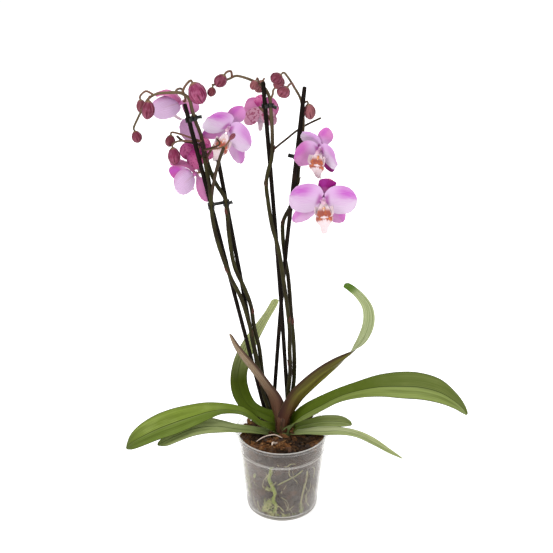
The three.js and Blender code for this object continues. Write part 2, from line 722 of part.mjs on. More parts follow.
// Their outlines: [share of the length, share of the half width].
const PETAL_WIDTHS = [[0.05, 0.2], [0.26, 0.8], [0.52, 1], [0.78, 0.86], [1, 0.3]];
const SEPAL_WIDTHS = [[0.05, 0.3], [0.28, 0.78], [0.52, 1], [0.78, 0.72], [1, 0.16]];

// Lip: [down its length y, forward z, half width, upper face's up and out parts, fold];
// the deep fold near the throat makes the two side lobes.
const LIP_ROWS = [
  [0.5, 5, 2.2, 0.7, 0.7, 0.2],
  [-3, 9, 6.5, 0.8, 0.5, 0.9],
  [-7, 12.5, 7.5, 0.7, 0.7, 1],
  [-12, 15, 5.6, 0.4, 0.9, 0.35],
  [-20, 15.5, 4.8, 0, 1, 0.2],
  [-27, 12, 1.6, -0.4, 0.9, 0.2],
];

// A bloom's own directions: out of its face, up towards the dorsal sepal, and across.
function flowerBasis(bloom) {
  const out = vector(bloom.look).normalize();
  const level = UP.clone().addScaledVector(out, -UP.dot(out)).normalize();
  const right = new THREE.Vector3().crossVectors(level, out);
  const roll = THREE.MathUtils.degToRad(bloom.roll);
  const up = level.clone().multiplyScalar(Math.cos(roll)).addScaledVector(right, Math.sin(roll));
  const across = new THREE.Vector3().crossVectors(up, out);
  return { out, up, across, centre: vector(bloom.at), size: bloom.size };
}

function inFlower(basis, x, y, z) {
  return basis.centre
    .clone()
    .addScaledVector(basis.across, x * basis.size)
    .addScaledVector(basis.up, y * basis.size)
    .addScaledVector(basis.out, z * basis.size);
}

// One sepal or petal, on the right of the flower or, with turn -1, on its left.
function tepal(basis, shape, turn, leanDegrees, widths, cells) {
  const { length, half, depth } = shape;
  const angle = turn * THREE.MathUtils.degToRad(shape.angle);
  const lean = THREE.MathUtils.degToRad(leanDegrees);
  const rows = widths.map(([t, w]) => {
    const bend = lean + CUP * (t - 0.5);
    const radial = length * t * Math.cos(lean + (CUP * (t - 1)) / 2);
    const forward = depth + length * t * Math.sin(lean + (CUP * (t - 1)) / 2);
    const at = inFlower(basis, radial * Math.sin(angle), radial * Math.cos(angle), forward);
    const face = basis.out
      .clone()
      .multiplyScalar(Math.cos(bend))
      .addScaledVector(basis.across, -Math.sin(bend) * Math.sin(angle))
      .addScaledVector(basis.up, -Math.sin(bend) * Math.cos(angle));
    return { at, half: half * w * basis.size, face, fold: TEPAL_FOLD };
  });
  return blade(rows, PETAL_THICKNESS, cells);
}

function makePerianth(bloom) {
  const basis = flowerBasis(bloom);
  const [dorsalLean, petalLean, sepalLean] = bloom.leans;
  const back = inFlower(basis, 0, 0, -HUB_BACK).toArray();
  const front = inFlower(basis, 0, 0, HUB_FRONT).toArray();
  let solid = drop(back, front, [[0, 1.4 * basis.size], [0.4, 4.4 * basis.size], [1, 3 * basis.size]], 6);
  solid = solid.add(tepal(basis, DORSAL, 1, dorsalLean, SEPAL_WIDTHS, 2));
  for (const turn of [1, -1]) {
    solid = solid.add(tepal(basis, SEPAL, turn, sepalLean, SEPAL_WIDTHS, 2));
    solid = solid.add(tepal(basis, PETAL, turn, petalLean, PETAL_WIDTHS, 4));
  }
  return solid;
}

// The column and the lip under it, moved ahead as the petals lean forward.
const LIP_AHEAD_PER_DEGREE = 0.035;

function makeLip(bloom) {
  const basis = flowerBasis(bloom);
  const ahead = LIP_AHEAD_PER_DEGREE * bloom.leans[1];
  const point = (x, y, z) => inFlower(basis, x, y, z + ahead).toArray();
  const column = [[0, 1.1 * basis.size], [0.4, 2.5 * basis.size], [1, 1.4 * basis.size]];
  const rows = LIP_ROWS.map(([y, z, half, upward, outward, fold]) => ({
    at: inFlower(basis, 0, y, z + ahead),
    half: half * basis.size,
    face: basis.up.clone().multiplyScalar(upward).addScaledVector(basis.out, outward).normalize(),
    fold,
  }));
  const root = inFlower(basis, 0, 0, HUB_FRONT).addScaledVector(basis.out, LIP_GAP).toArray();
  const solid = drop(root, point(0, 4.5, 12), column, 5);
  return solid.add(blade(rows, PETAL_THICKNESS, 4));
}

// Buds: base, tip and greatest radius.
const BUDS = {
  bud_tail_end: { base: [-163, -21, 510.6], tip: [-158, -22, 497.5], radius: 5.3, colour: BUD_WINE },
  bud_tail_front: { base: [-145, -26.5, 546.2], tip: [-147, -28.5, 527], radius: 5.9, colour: BUD_PINK },
  bud_tail_back: { base: [-156, -12, 543.6], tip: [-154, -12, 528.5], radius: 4.8, colour: BUD_WINE },
  bud_large: { base: [-98.8, -11.4, 561.8], tip: [-86.5, -14, 540], radius: 9.4, colour: BUD_PINK },
  bud_arch_end: { base: [-77, -6.6, 555.8], tip: [-79, -8, 545], radius: 4.2, colour: BUD_WINE },
  bud_arch: { base: [-63.4, -8.4, 569.8], tip: [-72, -9, 556], radius: 6.5, colour: BUD_PINK },
  bud_pale: { base: [-24, 24.5, 551], tip: [-30, 25, 562], radius: 5.2, colour: BUD_PINK },
  bud_dark: { base: [-26.5, 8.6, 553.6], tip: [-34.5, 7, 546], radius: 4.8, colour: BUD_WINE },
  bud_tip_left: { base: [-2, -11.6, 571], tip: [-12, -13, 562], radius: 6.4, colour: BUD_WINE },
  bud_tip_right: { base: [5, -6.2, 556], tip: [-4, -7, 544.5], radius: 7, colour: BUD_PINK },
  bud_tip_back: { base: [-9.2, 14, 549.2], tip: [0, 14, 561], radius: 6.2, colour: BUD_PINK },
  bud_by_stake: { base: [28, 12.5, 532.2], tip: [32.5, 11.5, 515], radius: 5.6, colour: BUD_PINK },
  bud_shoot_upper: { base: [-126.5, 9, 497.2], tip: [-128.5, 8, 483.5], radius: 5.2, colour: BUD_WINE },
  bud_shoot_lower: { base: [-124, -1.5, 485.8], tip: [-120.5, -3.5, 467], radius: 6.3, colour: BUD_PINK },
  bud_small: { base: [-58, -33.1, 504.1], tip: [-52.5, -33.5, 511.5], radius: 2.7, colour: BUD_WINE },
};

const BUD_PROFILE = [[0, 0.22], [0.15, 0.66], [0.4, 0.98], [0.68, 0.95], [1, 0.16]];

// Clips: loops round a stake and the stems beside it, joined by a web, with a finger tab.
const CLIPS = {
  clip_left_top: { around: ["stake_far_left", "spike_left_arch"], height: 519, tab: [7, -3, 2] },
  clip_left_long: {
    around: ["spike_left_front", "stake_far_left", "stake_left", "spike_left_arch"],
    height: 416,
    tab: [6, -3, 3],
  },
  clip_centre: { around: ["stake_centre", "spike_centre"], height: 530, tab: [6, -2, -2] },
  clip_right: { around: ["spike_right", "stake_right"], height: 470, tab: [-8, -3, 3] },
};

// A stake's or spike's centre line, radius, sides and steps, as its body is built.
function rod(name) {
  if (STAKES[name]) {
    return { path: STAKES[name], radius: STAKE_RADIUS, sides: 8, steps: STAKE_STEPS };
  }
  const path = lowerStem(SPIKES[name]);
  return { path, radius: SPIKE_RADIUS, sides: 6, steps: stepsFor(path, STEM_STEP) };
}

function fatter(name) {
  const { path, radius, sides, steps } = rod(name);
  return tube(path, (radius + GAP) / Math.cos(Math.PI / sides), sides, steps);
}

// Where the centre line first rises through a height.
function centreAt(name, height) {
  const { path, steps } = rod(name);
  const line = lineOf(path, steps);
  const k = line.findIndex((p, i) => p.z <= height && line[i + 1].z > height);
  const share = (height - line[k].z) / (line[k + 1].z - line[k].z);
  return line[k].clone().lerp(line[k + 1], share);
}

function makeClip(clip) {
  const LOOP = 1.7;
  const HALF_HEIGHT = 2.3;
  const WEB_RADIUS = 1.6;
  const centres = clip.around.map((name) => centreAt(name, clip.height));
  let solid = null;
  clip.around.forEach((name, i) => {
    const at = centres[i];
    const low = [at.x, at.y, at.z - HALF_HEIGHT];
    const high = [at.x, at.y, at.z + HALF_HEIGHT];
    const loop = tube([low, high], rod(name).radius + LOOP, 8, 1);
    solid = solid === null ? loop : solid.add(loop);
    if (i > 0) {
      solid = solid.add(tube([centres[i - 1].toArray(), at.toArray()], WEB_RADIUS, 6, 1));
    }
  });
  const last = centres[centres.length - 1];
  const reach = last.clone().add(vector(clip.tab));
  solid = solid.add(tube([last.toArray(), reach.toArray()], WEB_RADIUS, 6, 1));
  for (const name of clip.around) {
    solid = solid.subtract(fatter(name));
  }
  return solid;
}

place("pot", makePot(), CLEAR_PLASTIC, 0.25);
place("bark", makeBark(), BARK_BROWN, 0.9);
place("crown_roots", makeCrown(), CROWN_MAUVE, 0.6);
for (const [name, leaf] of Object.entries(LEAVES)) {
  place(name, makeLeaf(leaf), leaf.colour, 0.4);
}
for (const [name, spike] of Object.entries(SPIKES)) {
  place(name, makeSpike(spike), STEM_OLIVE, 0.6);
}
for (const [name, path] of Object.entries(STAKES)) {
  place(name, tube(path, STAKE_RADIUS, 8, STAKE_STEPS), STAKE_BLACK, 0.7);
}
for (const [name, clip] of Object.entries(CLIPS)) {
  place(name, makeClip(clip), CLIP_BLACK, 0.5);
}
for (const [name, bloom] of Object.entries(BLOOMS)) {
  const colour = bloom.look[1] > 0 ? PETAL_BACK : PETAL_LILAC;
  place(`${name}_petals`, makePerianth(bloom), colour, 0.5);
  place(`${name}_lip`, makeLip(bloom), LIP_PINK, 0.5);
}
for (const [name, bud] of Object.entries(BUDS)) {
  const profile = BUD_PROFILE.map(([t, r]) => [t, r * bud.radius]);
  place(name, drop(bud.base, bud.tip, profile, 6), bud.colour, 0.5);
}

export default root;
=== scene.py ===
import json
import math
import random

import bmesh
import bpy
from mathutils import Matrix, Vector, noise

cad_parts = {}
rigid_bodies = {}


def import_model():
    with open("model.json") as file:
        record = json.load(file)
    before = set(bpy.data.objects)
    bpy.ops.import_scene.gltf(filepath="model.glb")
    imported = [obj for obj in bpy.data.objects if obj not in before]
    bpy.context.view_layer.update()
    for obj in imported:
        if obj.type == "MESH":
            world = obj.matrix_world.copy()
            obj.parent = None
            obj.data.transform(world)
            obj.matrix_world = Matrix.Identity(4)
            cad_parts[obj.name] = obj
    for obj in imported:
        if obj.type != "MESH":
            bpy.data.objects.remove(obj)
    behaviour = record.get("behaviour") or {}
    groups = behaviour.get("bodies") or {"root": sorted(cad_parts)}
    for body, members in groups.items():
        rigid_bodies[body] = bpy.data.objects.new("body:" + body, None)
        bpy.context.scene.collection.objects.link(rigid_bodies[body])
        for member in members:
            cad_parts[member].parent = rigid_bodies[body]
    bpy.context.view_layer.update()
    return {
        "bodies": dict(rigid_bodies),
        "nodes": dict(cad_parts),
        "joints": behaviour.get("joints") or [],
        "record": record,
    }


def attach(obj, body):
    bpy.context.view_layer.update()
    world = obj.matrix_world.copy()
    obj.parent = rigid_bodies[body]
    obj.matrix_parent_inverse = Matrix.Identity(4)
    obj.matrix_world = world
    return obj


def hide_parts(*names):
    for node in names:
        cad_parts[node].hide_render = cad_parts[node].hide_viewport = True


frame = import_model()

# Tables of places are in millimetres, as the part's own are.
MM = 0.001
# Corners closer together than this, in metres, become one.
WELD = 2e-6
UP = Vector((0, 0, 1))
GOLDEN_ANGLE = math.pi * (3 - math.sqrt(5))

# Camera
CAMERA_PLACE = (-0.0072, -1.1, 0.827)
CAMERA_PITCH = 65.48
LENS = 66.0


def make_camera():
    data = bpy.data.cameras.new("camera")
    data.lens = LENS
    data.sensor_width = 36
    data.clip_start = 0.01
    data.clip_end = 50
    camera = bpy.data.objects.new("camera", data)
    camera.location = CAMERA_PLACE
    camera.rotation_euler = (math.radians(CAMERA_PITCH), 0, 0)
    bpy.context.scene.collection.objects.link(camera)
    bpy.context.scene.camera = camera


# Curves
def hermite(start, end, leave, arrive, t):
    """A point at share t of the curve from start to end with those end slopes."""
    square, cube = t * t, t * t * t
    return (
        start * (2 * cube - 3 * square + 1)
        + leave * (cube - 2 * square + t)
        + end * (3 * square - 2 * cube)
        + arrive * (cube - square)
    )


def smooth_curve(rows, per_span=8):
    """Rows of numbers, each with its place first, on a smooth curve through the given ones."""
    rows = [Vector(row) for row in rows]
    rows = [2 * rows[0] - rows[1], *rows, 2 * rows[-1] - rows[-2]]
    found = []
    for a, b, c, d in zip(rows, rows[1:], rows[2:], rows[3:]):
        gaps = []
        for p, q in ((a, b), (b, c), (c, d)):
            gaps.append(max(math.sqrt((Vector(q[:3]) - Vector(p[:3])).length), 1e-4))
        first, middle, last = gaps
        leave = ((b - a) / first - (c - a) / (first + middle)) * middle + (c - b)
        arrive = (c - b) - ((d - b) / (middle + last) - (d - c) / last) * middle
        for k in range(per_span):
            found.append(hermite(b, c, leave, arrive, k / per_span))
    found.append(rows[-2])
    return found


def lengths_along(line):
    """How far each point of a line is from its start, along it."""
    found = [0]
    for p, q in zip(line, line[1:]):
        found.append(found[-1] + (Vector(q[:3]) - Vector(p[:3])).length)
    return found


def evenly(line, step):
    """The same line with its points about one step apart."""
    lengths = lengths_along(line)
    count = max(2, round(lengths[-1] / step))
    found = []
    k = 0
    for i in range(count + 1):
        wanted = lengths[-1] * i / count
        while k + 2 < len(line) and lengths[k + 1] < wanted:
            k += 1
        span = max(lengths[k + 1] - lengths[k], 1e-9)
        found.append(line[k].lerp(line[k + 1], min(1, (wanted - lengths[k]) / span)))
    return found


def curve_value(table, x):
    """The value at x of a smooth curve through [x, value] pairs."""
    if x <= table[0][0]:
        return table[0][1]
    for (x0, y0), (x1, y1) in zip(table, table[1:]):
        if x <= x1:
            t = (x - x0) / (x1 - x0)
            return y0 + (y1 - y0) * t * t * (3 - 2 * t)
    return table[-1][1]


def straight_value(table, x):
    """The value at x of a straight-sided line through [x, value] pairs."""
    for (x0, y0), (x1, y1) in zip(table, table[1:]):
        if x <= x1:
            return y0 + (y1 - y0) * max(0, x - x0) / (x1 - x0)
    return table[-1][1]


def nearest_on(line, point):
    return min(line, key=lambda p: (p - point).length)


def at_height(line, height):
    """The index of the first point below a height that the line rises through."""
    return next(i for i in range(len(line) - 1) if line[i].z <= height < line[i + 1].z)


def round_axis(radius, angle, height):
    """A place at a radius from the pot's axis and an angle round it."""
    return Vector((radius * math.cos(angle), radius * math.sin(angle), height))


# Meshes
def new_mesh():
    """An empty bmesh whose corners carry a place on their own piece and a tint."""
    bm = bmesh.new()
    bm.verts.layers.float_vector.new("place")
    bm.verts.layers.float_vector.new("tint")
    return bm


def add_skin(bm, around, along, shape, tint=(0, 0, 0)):
    """Adds a grid rolled into a closed skin; shape(turn, share) gives a corner and its place."""
    made = bmesh.ops.create_grid(bm, x_segments=around, y_segments=along, size=0.5)["verts"]
    place_layer = bm.verts.layers.float_vector["place"]
    tint_layer = bm.verts.layers.float_vector["tint"]
    for vert in made:
        corner, place = shape(vert.co.x + 0.5, vert.co.y + 0.5)
        vert.co = corner * MM
        vert[place_layer] = place
        vert[tint_layer] = tint
    bmesh.ops.remove_doubles(bm, verts=made, dist=WELD)


def finish_piece(bm, name, material, nodes, levels=0):
    """Turns a bmesh into a smooth piece that stands for its CAD nodes."""
    bmesh.ops.recalc_face_normals(bm, faces=bm.faces)
    mesh = bpy.data.meshes.new(name)
    bm.to_mesh(mesh)
    bm.free()
    mesh.polygons.foreach_set("use_smooth", [True] * len(mesh.polygons))
    piece = bpy.data.objects.new(name, mesh)
    bpy.context.scene.collection.objects.link(piece)
    mesh.materials.append(material)
    if levels:
        subdivision = piece.modifiers.new("subdivision", "SUBSURF")
        subdivision.levels = levels
        subdivision.render_levels = levels
    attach(piece, "root")
    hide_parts(*nodes)
    return piece


def add_turned(bm, profile, steps):
    """Adds a profile of radius and height turned round the pot's axis."""
    corners = [bm.verts.new((radius * MM, 0, height * MM)) for radius, height in profile]
    edges = [bm.edges.new(pair) for pair in zip(corners, corners[1:])]
    bmesh.ops.spin(
        bm, geom=corners + edges, cent=(0, 0, 0), axis=(0, 0, 1), angle=2 * math.pi, steps=steps,
        use_merge=True,
    )
    bmesh.ops.remove_doubles(bm, verts=bm.verts, dist=WELD)


def add_tube(bm, line, radius, around=12, tint=(0, 0, 0), ends=(0.6, 0.6), wobble=0):
    """Adds a round bar along a line; radius(s) is its radius at s millimetres from the start."""
    WOBBLE_SCALE = 0.35
    along = len(line) - 1
    lengths = lengths_along(line)
    side = (line[1] - line[0]).orthogonal().normalized()
    frames = []
    for i, centre in enumerate(line):
        ahead = (line[min(i + 1, along)] - line[max(i - 1, 0)]).normalized()
        side = (side - ahead * side.dot(ahead)).normalized()
        frames.append((centre, side, ahead.cross(side)))
    rings = [(frames[0], 0, 0), (frames[0], lengths[0], ends[0])]
    rings += [(frame, length, 1) for frame, length in zip(frames[1:-1], lengths[1:-1])]
    rings += [(frames[-1], lengths[-1], ends[1]), (frames[-1], lengths[-1], 0)]

    def shape(turn, share):
        (centre, side, other), length, fill = rings[round(share * (len(rings) - 1))]
        angle = 2 * math.pi * turn
        x, y = math.cos(angle), math.sin(angle)
        r = radius(length) * fill
        if wobble:
            r *= 1 + wobble * noise.noise((centre + side * x + other * y) * WOBBLE_SCALE)
        return centre + side * (x * r) + other * (y * r), (x, y, length * MM)

    add_skin(bm, around, len(rings) - 1, shape, tint)


def blade_frames(rows):
    """For rows of x, y, z, half width, face x, y, z and fold: centre, side, face, half and fold."""
    frames = []
    last = len(rows) - 1
    for i, row in enumerate(rows):
        along = Vector(rows[min(i + 1, last)][:3]) - Vector(rows[max(i - 1, 0)][:3])
        along.normalize()
        side = along.cross(Vector(row[4:7])).normalized()
        frames.append((Vector(row[:3]), side, side.cross(along).normalized(), row[3], row[7]))
    return frames


def frame_at(frames, share):
    """The blade's frame at a share of its rows."""
    at = share * (len(frames) - 1)
    k = min(int(at), len(frames) - 2)
    t = at - k
    return [a + (b - a) * t for a, b in zip(frames[k], frames[k + 1])]


def add_blade(bm, frames, around, along, thickness, tint=(0, 0, 0), ease=None, relief=None, flip=1):
    """Adds a closed blade; relief(a, t) raises its face, with a from -1 to 1 across it."""
    FOLD_ROUNDING = 0.012
    FOLD_REST = 0.11
    EDGE_FULLNESS = 0.6

    def shape(turn, share):
        t = ease(share) if ease else share
        centre, side, face, half, fold = frame_at(frames, t)
        angle = 2 * math.pi * turn
        a, top = -math.cos(angle), math.sin(angle)
        if share < 1e-6 or share > 1 - 1e-6:
            top = 0
        lift = fold * half * (math.sqrt(a * a + FOLD_ROUNDING) - FOLD_REST)
        lift += relief(a * flip, t) if relief else 0
        body = 0.5 * thickness(a, t) * math.copysign(abs(top) ** EDGE_FULLNESS, top)
        corner = centre + side * (a * half) + face * (lift + body)
        return corner, (a * flip, t, top)

    add_skin(bm, around, along, shape, tint)


# Materials
class Paint:
    """One material and the nodes that colour it."""

    def __init__(self, name, **constants):
        self.material = bpy.data.materials.new(name)
        self.material.use_nodes = True
        self.tree = self.material.node_tree
        self.shader = self.tree.nodes["Principled BSDF"]
        self.output = self.tree.nodes["Material Output"]
        for socket, value in constants.items():
            self.shader.inputs[socket.replace("_", " ")].default_value = value

    def feed(self, socket, value):
        """Sets a socket to a value, or links it to the node socket that gives it."""
        if isinstance(value, bpy.types.NodeSocket):
            self.tree.links.new(value, socket)
        else:
            socket.default_value = value

    def node(self, kind, inputs=(), **settings):
        made = self.tree.nodes.new(kind)
        for key, value in settings.items():
            setattr(made, key, value)
        for key, value in dict(inputs).items():
            self.feed(made.inputs[key], value)
        return made

    def math(self, operation, a, b=0.0, c=0.0, clamp=False):
        inputs = {0: a, 1: b, 2: c}
        return self.node("ShaderNodeMath", inputs, operation=operation, use_clamp=clamp).outputs[0]

    def times(self, a, b, plus=None):
        if plus is None:
            return self.math("MULTIPLY", a, b)
        return self.math("MULTIPLY_ADD", a, b, plus)

    def clamped(self, a, b=1.0):
        """The product of two values, kept between 0 and 1."""
        return self.math("MULTIPLY", a, b, clamp=True)

    def rest(self, value):
        """What a value leaves of 1."""
        return self.math("SUBTRACT", 1.0, value, clamp=True)

    def off(self, value, centre=None):
        """How far a value is from a centre, or from 0."""
        if centre is not None:
            value = self.math("SUBTRACT", value, centre)
        return self.math("ABSOLUTE", value)

    def between(self, value, low, high, smooth=True):
        """0 below low and 1 above high."""
        kind = "SMOOTHSTEP" if smooth else "LINEAR"
        inputs = {"Value": value, "From Min": low, "From Max": high}
        return self.node("ShaderNodeMapRange", inputs, interpolation_type=kind).outputs[0]

    def mix(self, factor, a, b):
        """Colour a where the factor is 0 and b where it is 1."""
        made = self.node("ShaderNodeMix", data_type="RGBA")
        self.feed(made.inputs[0], factor)
        for socket, colour in ((made.inputs[6], a), (made.inputs[7], b)):
            self.feed(socket, (*colour, 1) if isinstance(colour, tuple) else colour)
        return made.outputs[2]

    def over(self, below, colour, factor, strength=None):
        """A colour laid over another as far as the factor and the strength say."""
        if strength is not None:
            factor = self.times(factor, strength)
        return self.mix(factor, below, colour)

    def attribute(self, name):
        return self.node("ShaderNodeAttribute", attribute_name=name).outputs["Vector"]

    def split(self, vector):
        return self.node("ShaderNodeSeparateXYZ", {0: vector}).outputs

    def join(self, x=0.0, y=0.0, z=0.0):
        return self.node("ShaderNodeCombineXYZ", {0: x, 1: y, 2: z}).outputs[0]

    def place(self):
        return self.node("ShaderNodeTexCoord").outputs["Object"]

    def noise(self, vector, scale, detail, roughness=0.55):
        inputs = {"Vector": vector, "Scale": scale, "Detail": detail, "Roughness": roughness}
        return self.node("ShaderNodeTexNoise", inputs).outputs["Fac"]

    def fibres(self, parts, scales, scale=1.0, detail=2):
        """Noise drawn out along a piece: each part of the place has its own scale."""
        drawn = [self.times(part, own) for part, own in zip(parts, scales)]
        return self.noise(self.join(*drawn), scale, detail)

    def stretched(self, vector, scale):
        inputs = {0: vector, 1: scale}
        return self.node("ShaderNodeVectorMath", inputs, operation="MULTIPLY").outputs[0]

    def bump(self, height, distance, strength):
        inputs = {"Height": height, "Distance": distance, "Strength": strength}
        self.set("Normal", self.node("ShaderNodeBump", inputs).outputs[0])

    def set(self, socket, value):
        self.tree.links.new(value, self.shader.inputs[socket])


# Leaves: x, y, z, half width, the way the upper face looks, fold.
LEAVES = {
    "leaf_left_upper": [
        (-6.5, -1, 112, 8, 0.6, 0.05, 0.8, 0.35),
        (-27, -8.5, 122, 9, 0.5, 0.05, 0.86, 0.3),
        (-49, -8, 140.5, 8, 0.45, -0.05, 0.89, 0.25),
        (-75, -11, 146.2, 11, 0, -0.15, 1, 0.2),
        (-92, -14, 145.2, 15, -0.1, -0.25, 0.96, 0.16),
        (-114, -17, 139.6, 19.5, -0.25, -0.3, 0.92, 0.14),
        (-136, -20, 133, 23, -0.3, -0.3, 0.9, 0.12),
        (-157, -24, 126, 24.2, -0.3, -0.2, 0.93, 0.12),
        (-177, -28, 116.8, 21, -0.4, -0.2, 0.9, 0.1),
        (-189, -30.5, 110, 14.6, -0.45, -0.2, 0.88, 0.1),
        (-196.5, -32, 103.6, 3.6, -0.5, -0.2, 0.85, 0.1),
    ],
    "leaf_left_lower": [
        (-6, -4, 107, 6, 0.4, 0, 0.9, 0.3),
        (-31, -12, 114.5, 7.5, 0.4, 0, 0.9, 0.25),
        (-58, -16, 121, 9, 0.2, -0.1, 0.97, 0.2),
        (-75, -18, 125.5, 12, 0.05, -0.15, 0.98, 0.16),
        (-92, -20, 127.5, 14.5, -0.1, -0.2, 0.97, 0.14),
        (-116, -23, 124.5, 16, -0.3, -0.2, 0.93, 0.12),
        (-138, -26, 115, 12.5, -0.4, -0.2, 0.9, 0.1),
        (-149, -27.3, 109, 8.5, -0.4, -0.2, 0.9, 0.1),
        (-157, -28, 105, 3, -0.4, -0.2, 0.9, 0.1),
    ],
    "leaf_rear": [
        (-5.5, 4, 128, 6, 0.1, -0.75, 0.6, 0.1),
        (-26, 10, 129, 7, 0.2, -0.9, 0.45, 0.15),
        (-42, 15, 135, 10, 0.3, -0.85, 0.5, 0.2),
        (-53, 24, 149, 12, 0.4, -0.8, 0.45, 0.2),
        (-57, 34, 167, 12.5, 0.5, -0.8, 0.35, 0.2),
        (-53, 43, 187, 12.5, 0.55, -0.8, 0.3, 0.18),
        (-43, 49, 209, 12, 0.6, -0.75, 0, 0.16),
        (-31, 51, 229, 11, 0.6, -0.75, -0.2, 0.14),
        (-19, 51, 251, 9, 0.6, -0.75, -0.3, 0.12),
        (-12, 50.5, 264, 7.6, 0.55, -0.75, -0.35, 0.1),
        (-8, 50, 271.5, 6.4, 0.55, -0.75, -0.35, 0.1),
    ],
    "leaf_young": [
        (-3.5, -5, 137, 10.5, 0.1, 0.97, 0.15, 0.6),
        (-9.5, -5, 157, 9, 0.25, 0.93, 0.12, 0.46),
        (-21, -6, 178, 7.2, 0.3, 0.9, 0.1, 0.4),
        (-34.5, -10, 202, 6.6, 0.35, 0.9, 0.1, 0.35),
        (-48, -13, 224, 5.8, 0.35, 0.88, 0.15, 0.3),
        (-57.5, -15, 241, 4.3, 0.4, 0.85, 0.2, 0.3),
        (-64, -16, 257, 1.8, 0.45, 0.8, 0.3, 0.2),
    ],
    "leaf_upright": [
        (6, -9, 137, 11.5, -0.1, 0.97, 0.1, 0.6),
        (16, -9, 160, 10.8, -0.2, 0.93, 0, 0.34),
        (32, -9, 180, 10.8, -0.2, 0.93, 0, 0.28),
        (50, -10, 198.5, 10.5, -0.25, 0.9, 0.1, 0.22),
        (67.5, -11, 213.5, 9.5, -0.4, 0.85, 0.3, 0.26),
        (81, -12, 224.5, 9, -0.6, 0.58, 0.55, 0.4),
        (91, -12, 235.5, 9.2, -0.8, 0.05, 0.6, 0.4),
        (98, -12, 247, 9.8, -0.85, -0.35, 0.38, 0.25),
        (103, -12, 261, 10, -0.8, -0.52, 0.2, 0.15),
        (105, -12, 276, 9.8, -0.75, -0.65, 0.05, 0.15),
        (102, -12, 292, 9.2, -0.6, -0.7, -0.2, 0.15),
        (93, -12, 305.5, 8.4, -0.5, -0.75, -0.35, 0.15),
        (82, -12, 315.5, 7.6, -0.35, -0.8, -0.5, 0.15),
        (73, -12, 321, 6.4, -0.3, -0.8, -0.5, 0.1),
    ],
    "leaf_right_upper": [
        (6, -2, 118, 9, -0.6, -0.05, 0.8, 0.35),
        (24, -5, 132, 15.5, -0.6, -0.05, 0.8, 0.3),
        (48, -7, 149, 15, -0.5, -0.2, 0.85, 0.26),
        (72, -7, 163.5, 13, -0.35, -0.25, 0.9, 0.22),
        (97, -9, 173.5, 14.5, -0.2, -0.3, 0.94, 0.18),
        (121, -11, 179.5, 20, -0.1, -0.25, 0.97, 0.15),
        (146, -13, 181.5, 23.5, 0, -0.25, 0.97, 0.13),
        (170, -15, 181.5, 24, 0.1, -0.25, 0.96, 0.12),
        (195, -18, 176, 22.5, 0.3, -0.25, 0.92, 0.1),
        (214, -20, 164, 17.5, 0.5, -0.2, 0.85, 0.1),
        (223.5, -21, 155, 11.5, 0.6, -0.2, 0.78, 0.1),
        (230.5, -22, 146, 2.5, 0.7, -0.2, 0.7, 0.1),
    ],
    "leaf_right_short": [
        (6, 2, 106.5, 4, -0.1, -0.05, 1, 0.2),
        (18, 4, 110, 6, -0.15, -0.1, 1, 0.2),
        (28, 6, 112.6, 8, -0.15, -0.15, 1, 0.16),
        (41, 8, 114.6, 10, -0.1, -0.1, 1, 0.12),
        (56, 10, 115.4, 12, 0, -0.1, 1, 0.1),
        (74, 13.5, 113.2, 12, 0.15, -0.1, 1, 0.1),
        (84, 14.5, 110.5, 8.5, 0.25, -0.1, 0.97, 0.1),
        (90.5, 15, 108, 3, 0.3, -0.1, 0.95, 0.1),
    ],
    "leaf_right_lower": [
        (6, -4.5, 108.5, 4.5, -0.3, 0, 0.95, 0.3),
        (26, -10, 111.8, 6.5, -0.3, -0.05, 0.95, 0.25),
        (50, -16, 117, 8.8, -0.2, -0.1, 0.97, 0.2),
        (74, -20, 120.5, 7.5, 0, -0.1, 0.98, 0.16),
        (94, -22, 117, 8.2, 0.3, -0.1, 0.93, 0.14),
        (116, -24, 106, 8.3, 0.45, -0.1, 0.88, 0.12),
        (136, -26, 94.5, 5, 0.5, -0.1, 0.86, 0.1),
        (153, -28, 84, 1.6, 0.5, -0.1, 0.86, 0.1),
    ],
}
YOUNG_LEAVES = ("leaf_young", "leaf_upright")
# How dark each leaf is (below 0 lighter all over), how much painted light shines through its far
# end, and how much painted sheen lies on its near half (below 0 painted shade there). The lower
# that last value, the more the tip darkens too. A young leaf is purple where its first value is 0
# and olive where it is 1.
LEAF_TINTS = {
    "leaf_left_upper": (0.05, 0.05, -0.85),
    "leaf_left_lower": (-0.45, 0.2, 0.35),
    "leaf_rear": (1, 1, 0.05),
    "leaf_right_upper": (0.72, 0.1, 0.75),
    "leaf_right_short": (0.6, 0.25, 0.25),
    "leaf_right_lower": (-0.75, 0.6, 0.7),
    "leaf_young": (0, 0, 0),
    "leaf_upright": (1, 0, 0),
}
CROWN_FOOT = Vector((-1, 0, 95))
CROWN_TOP = Vector((1, -1.5, 137))


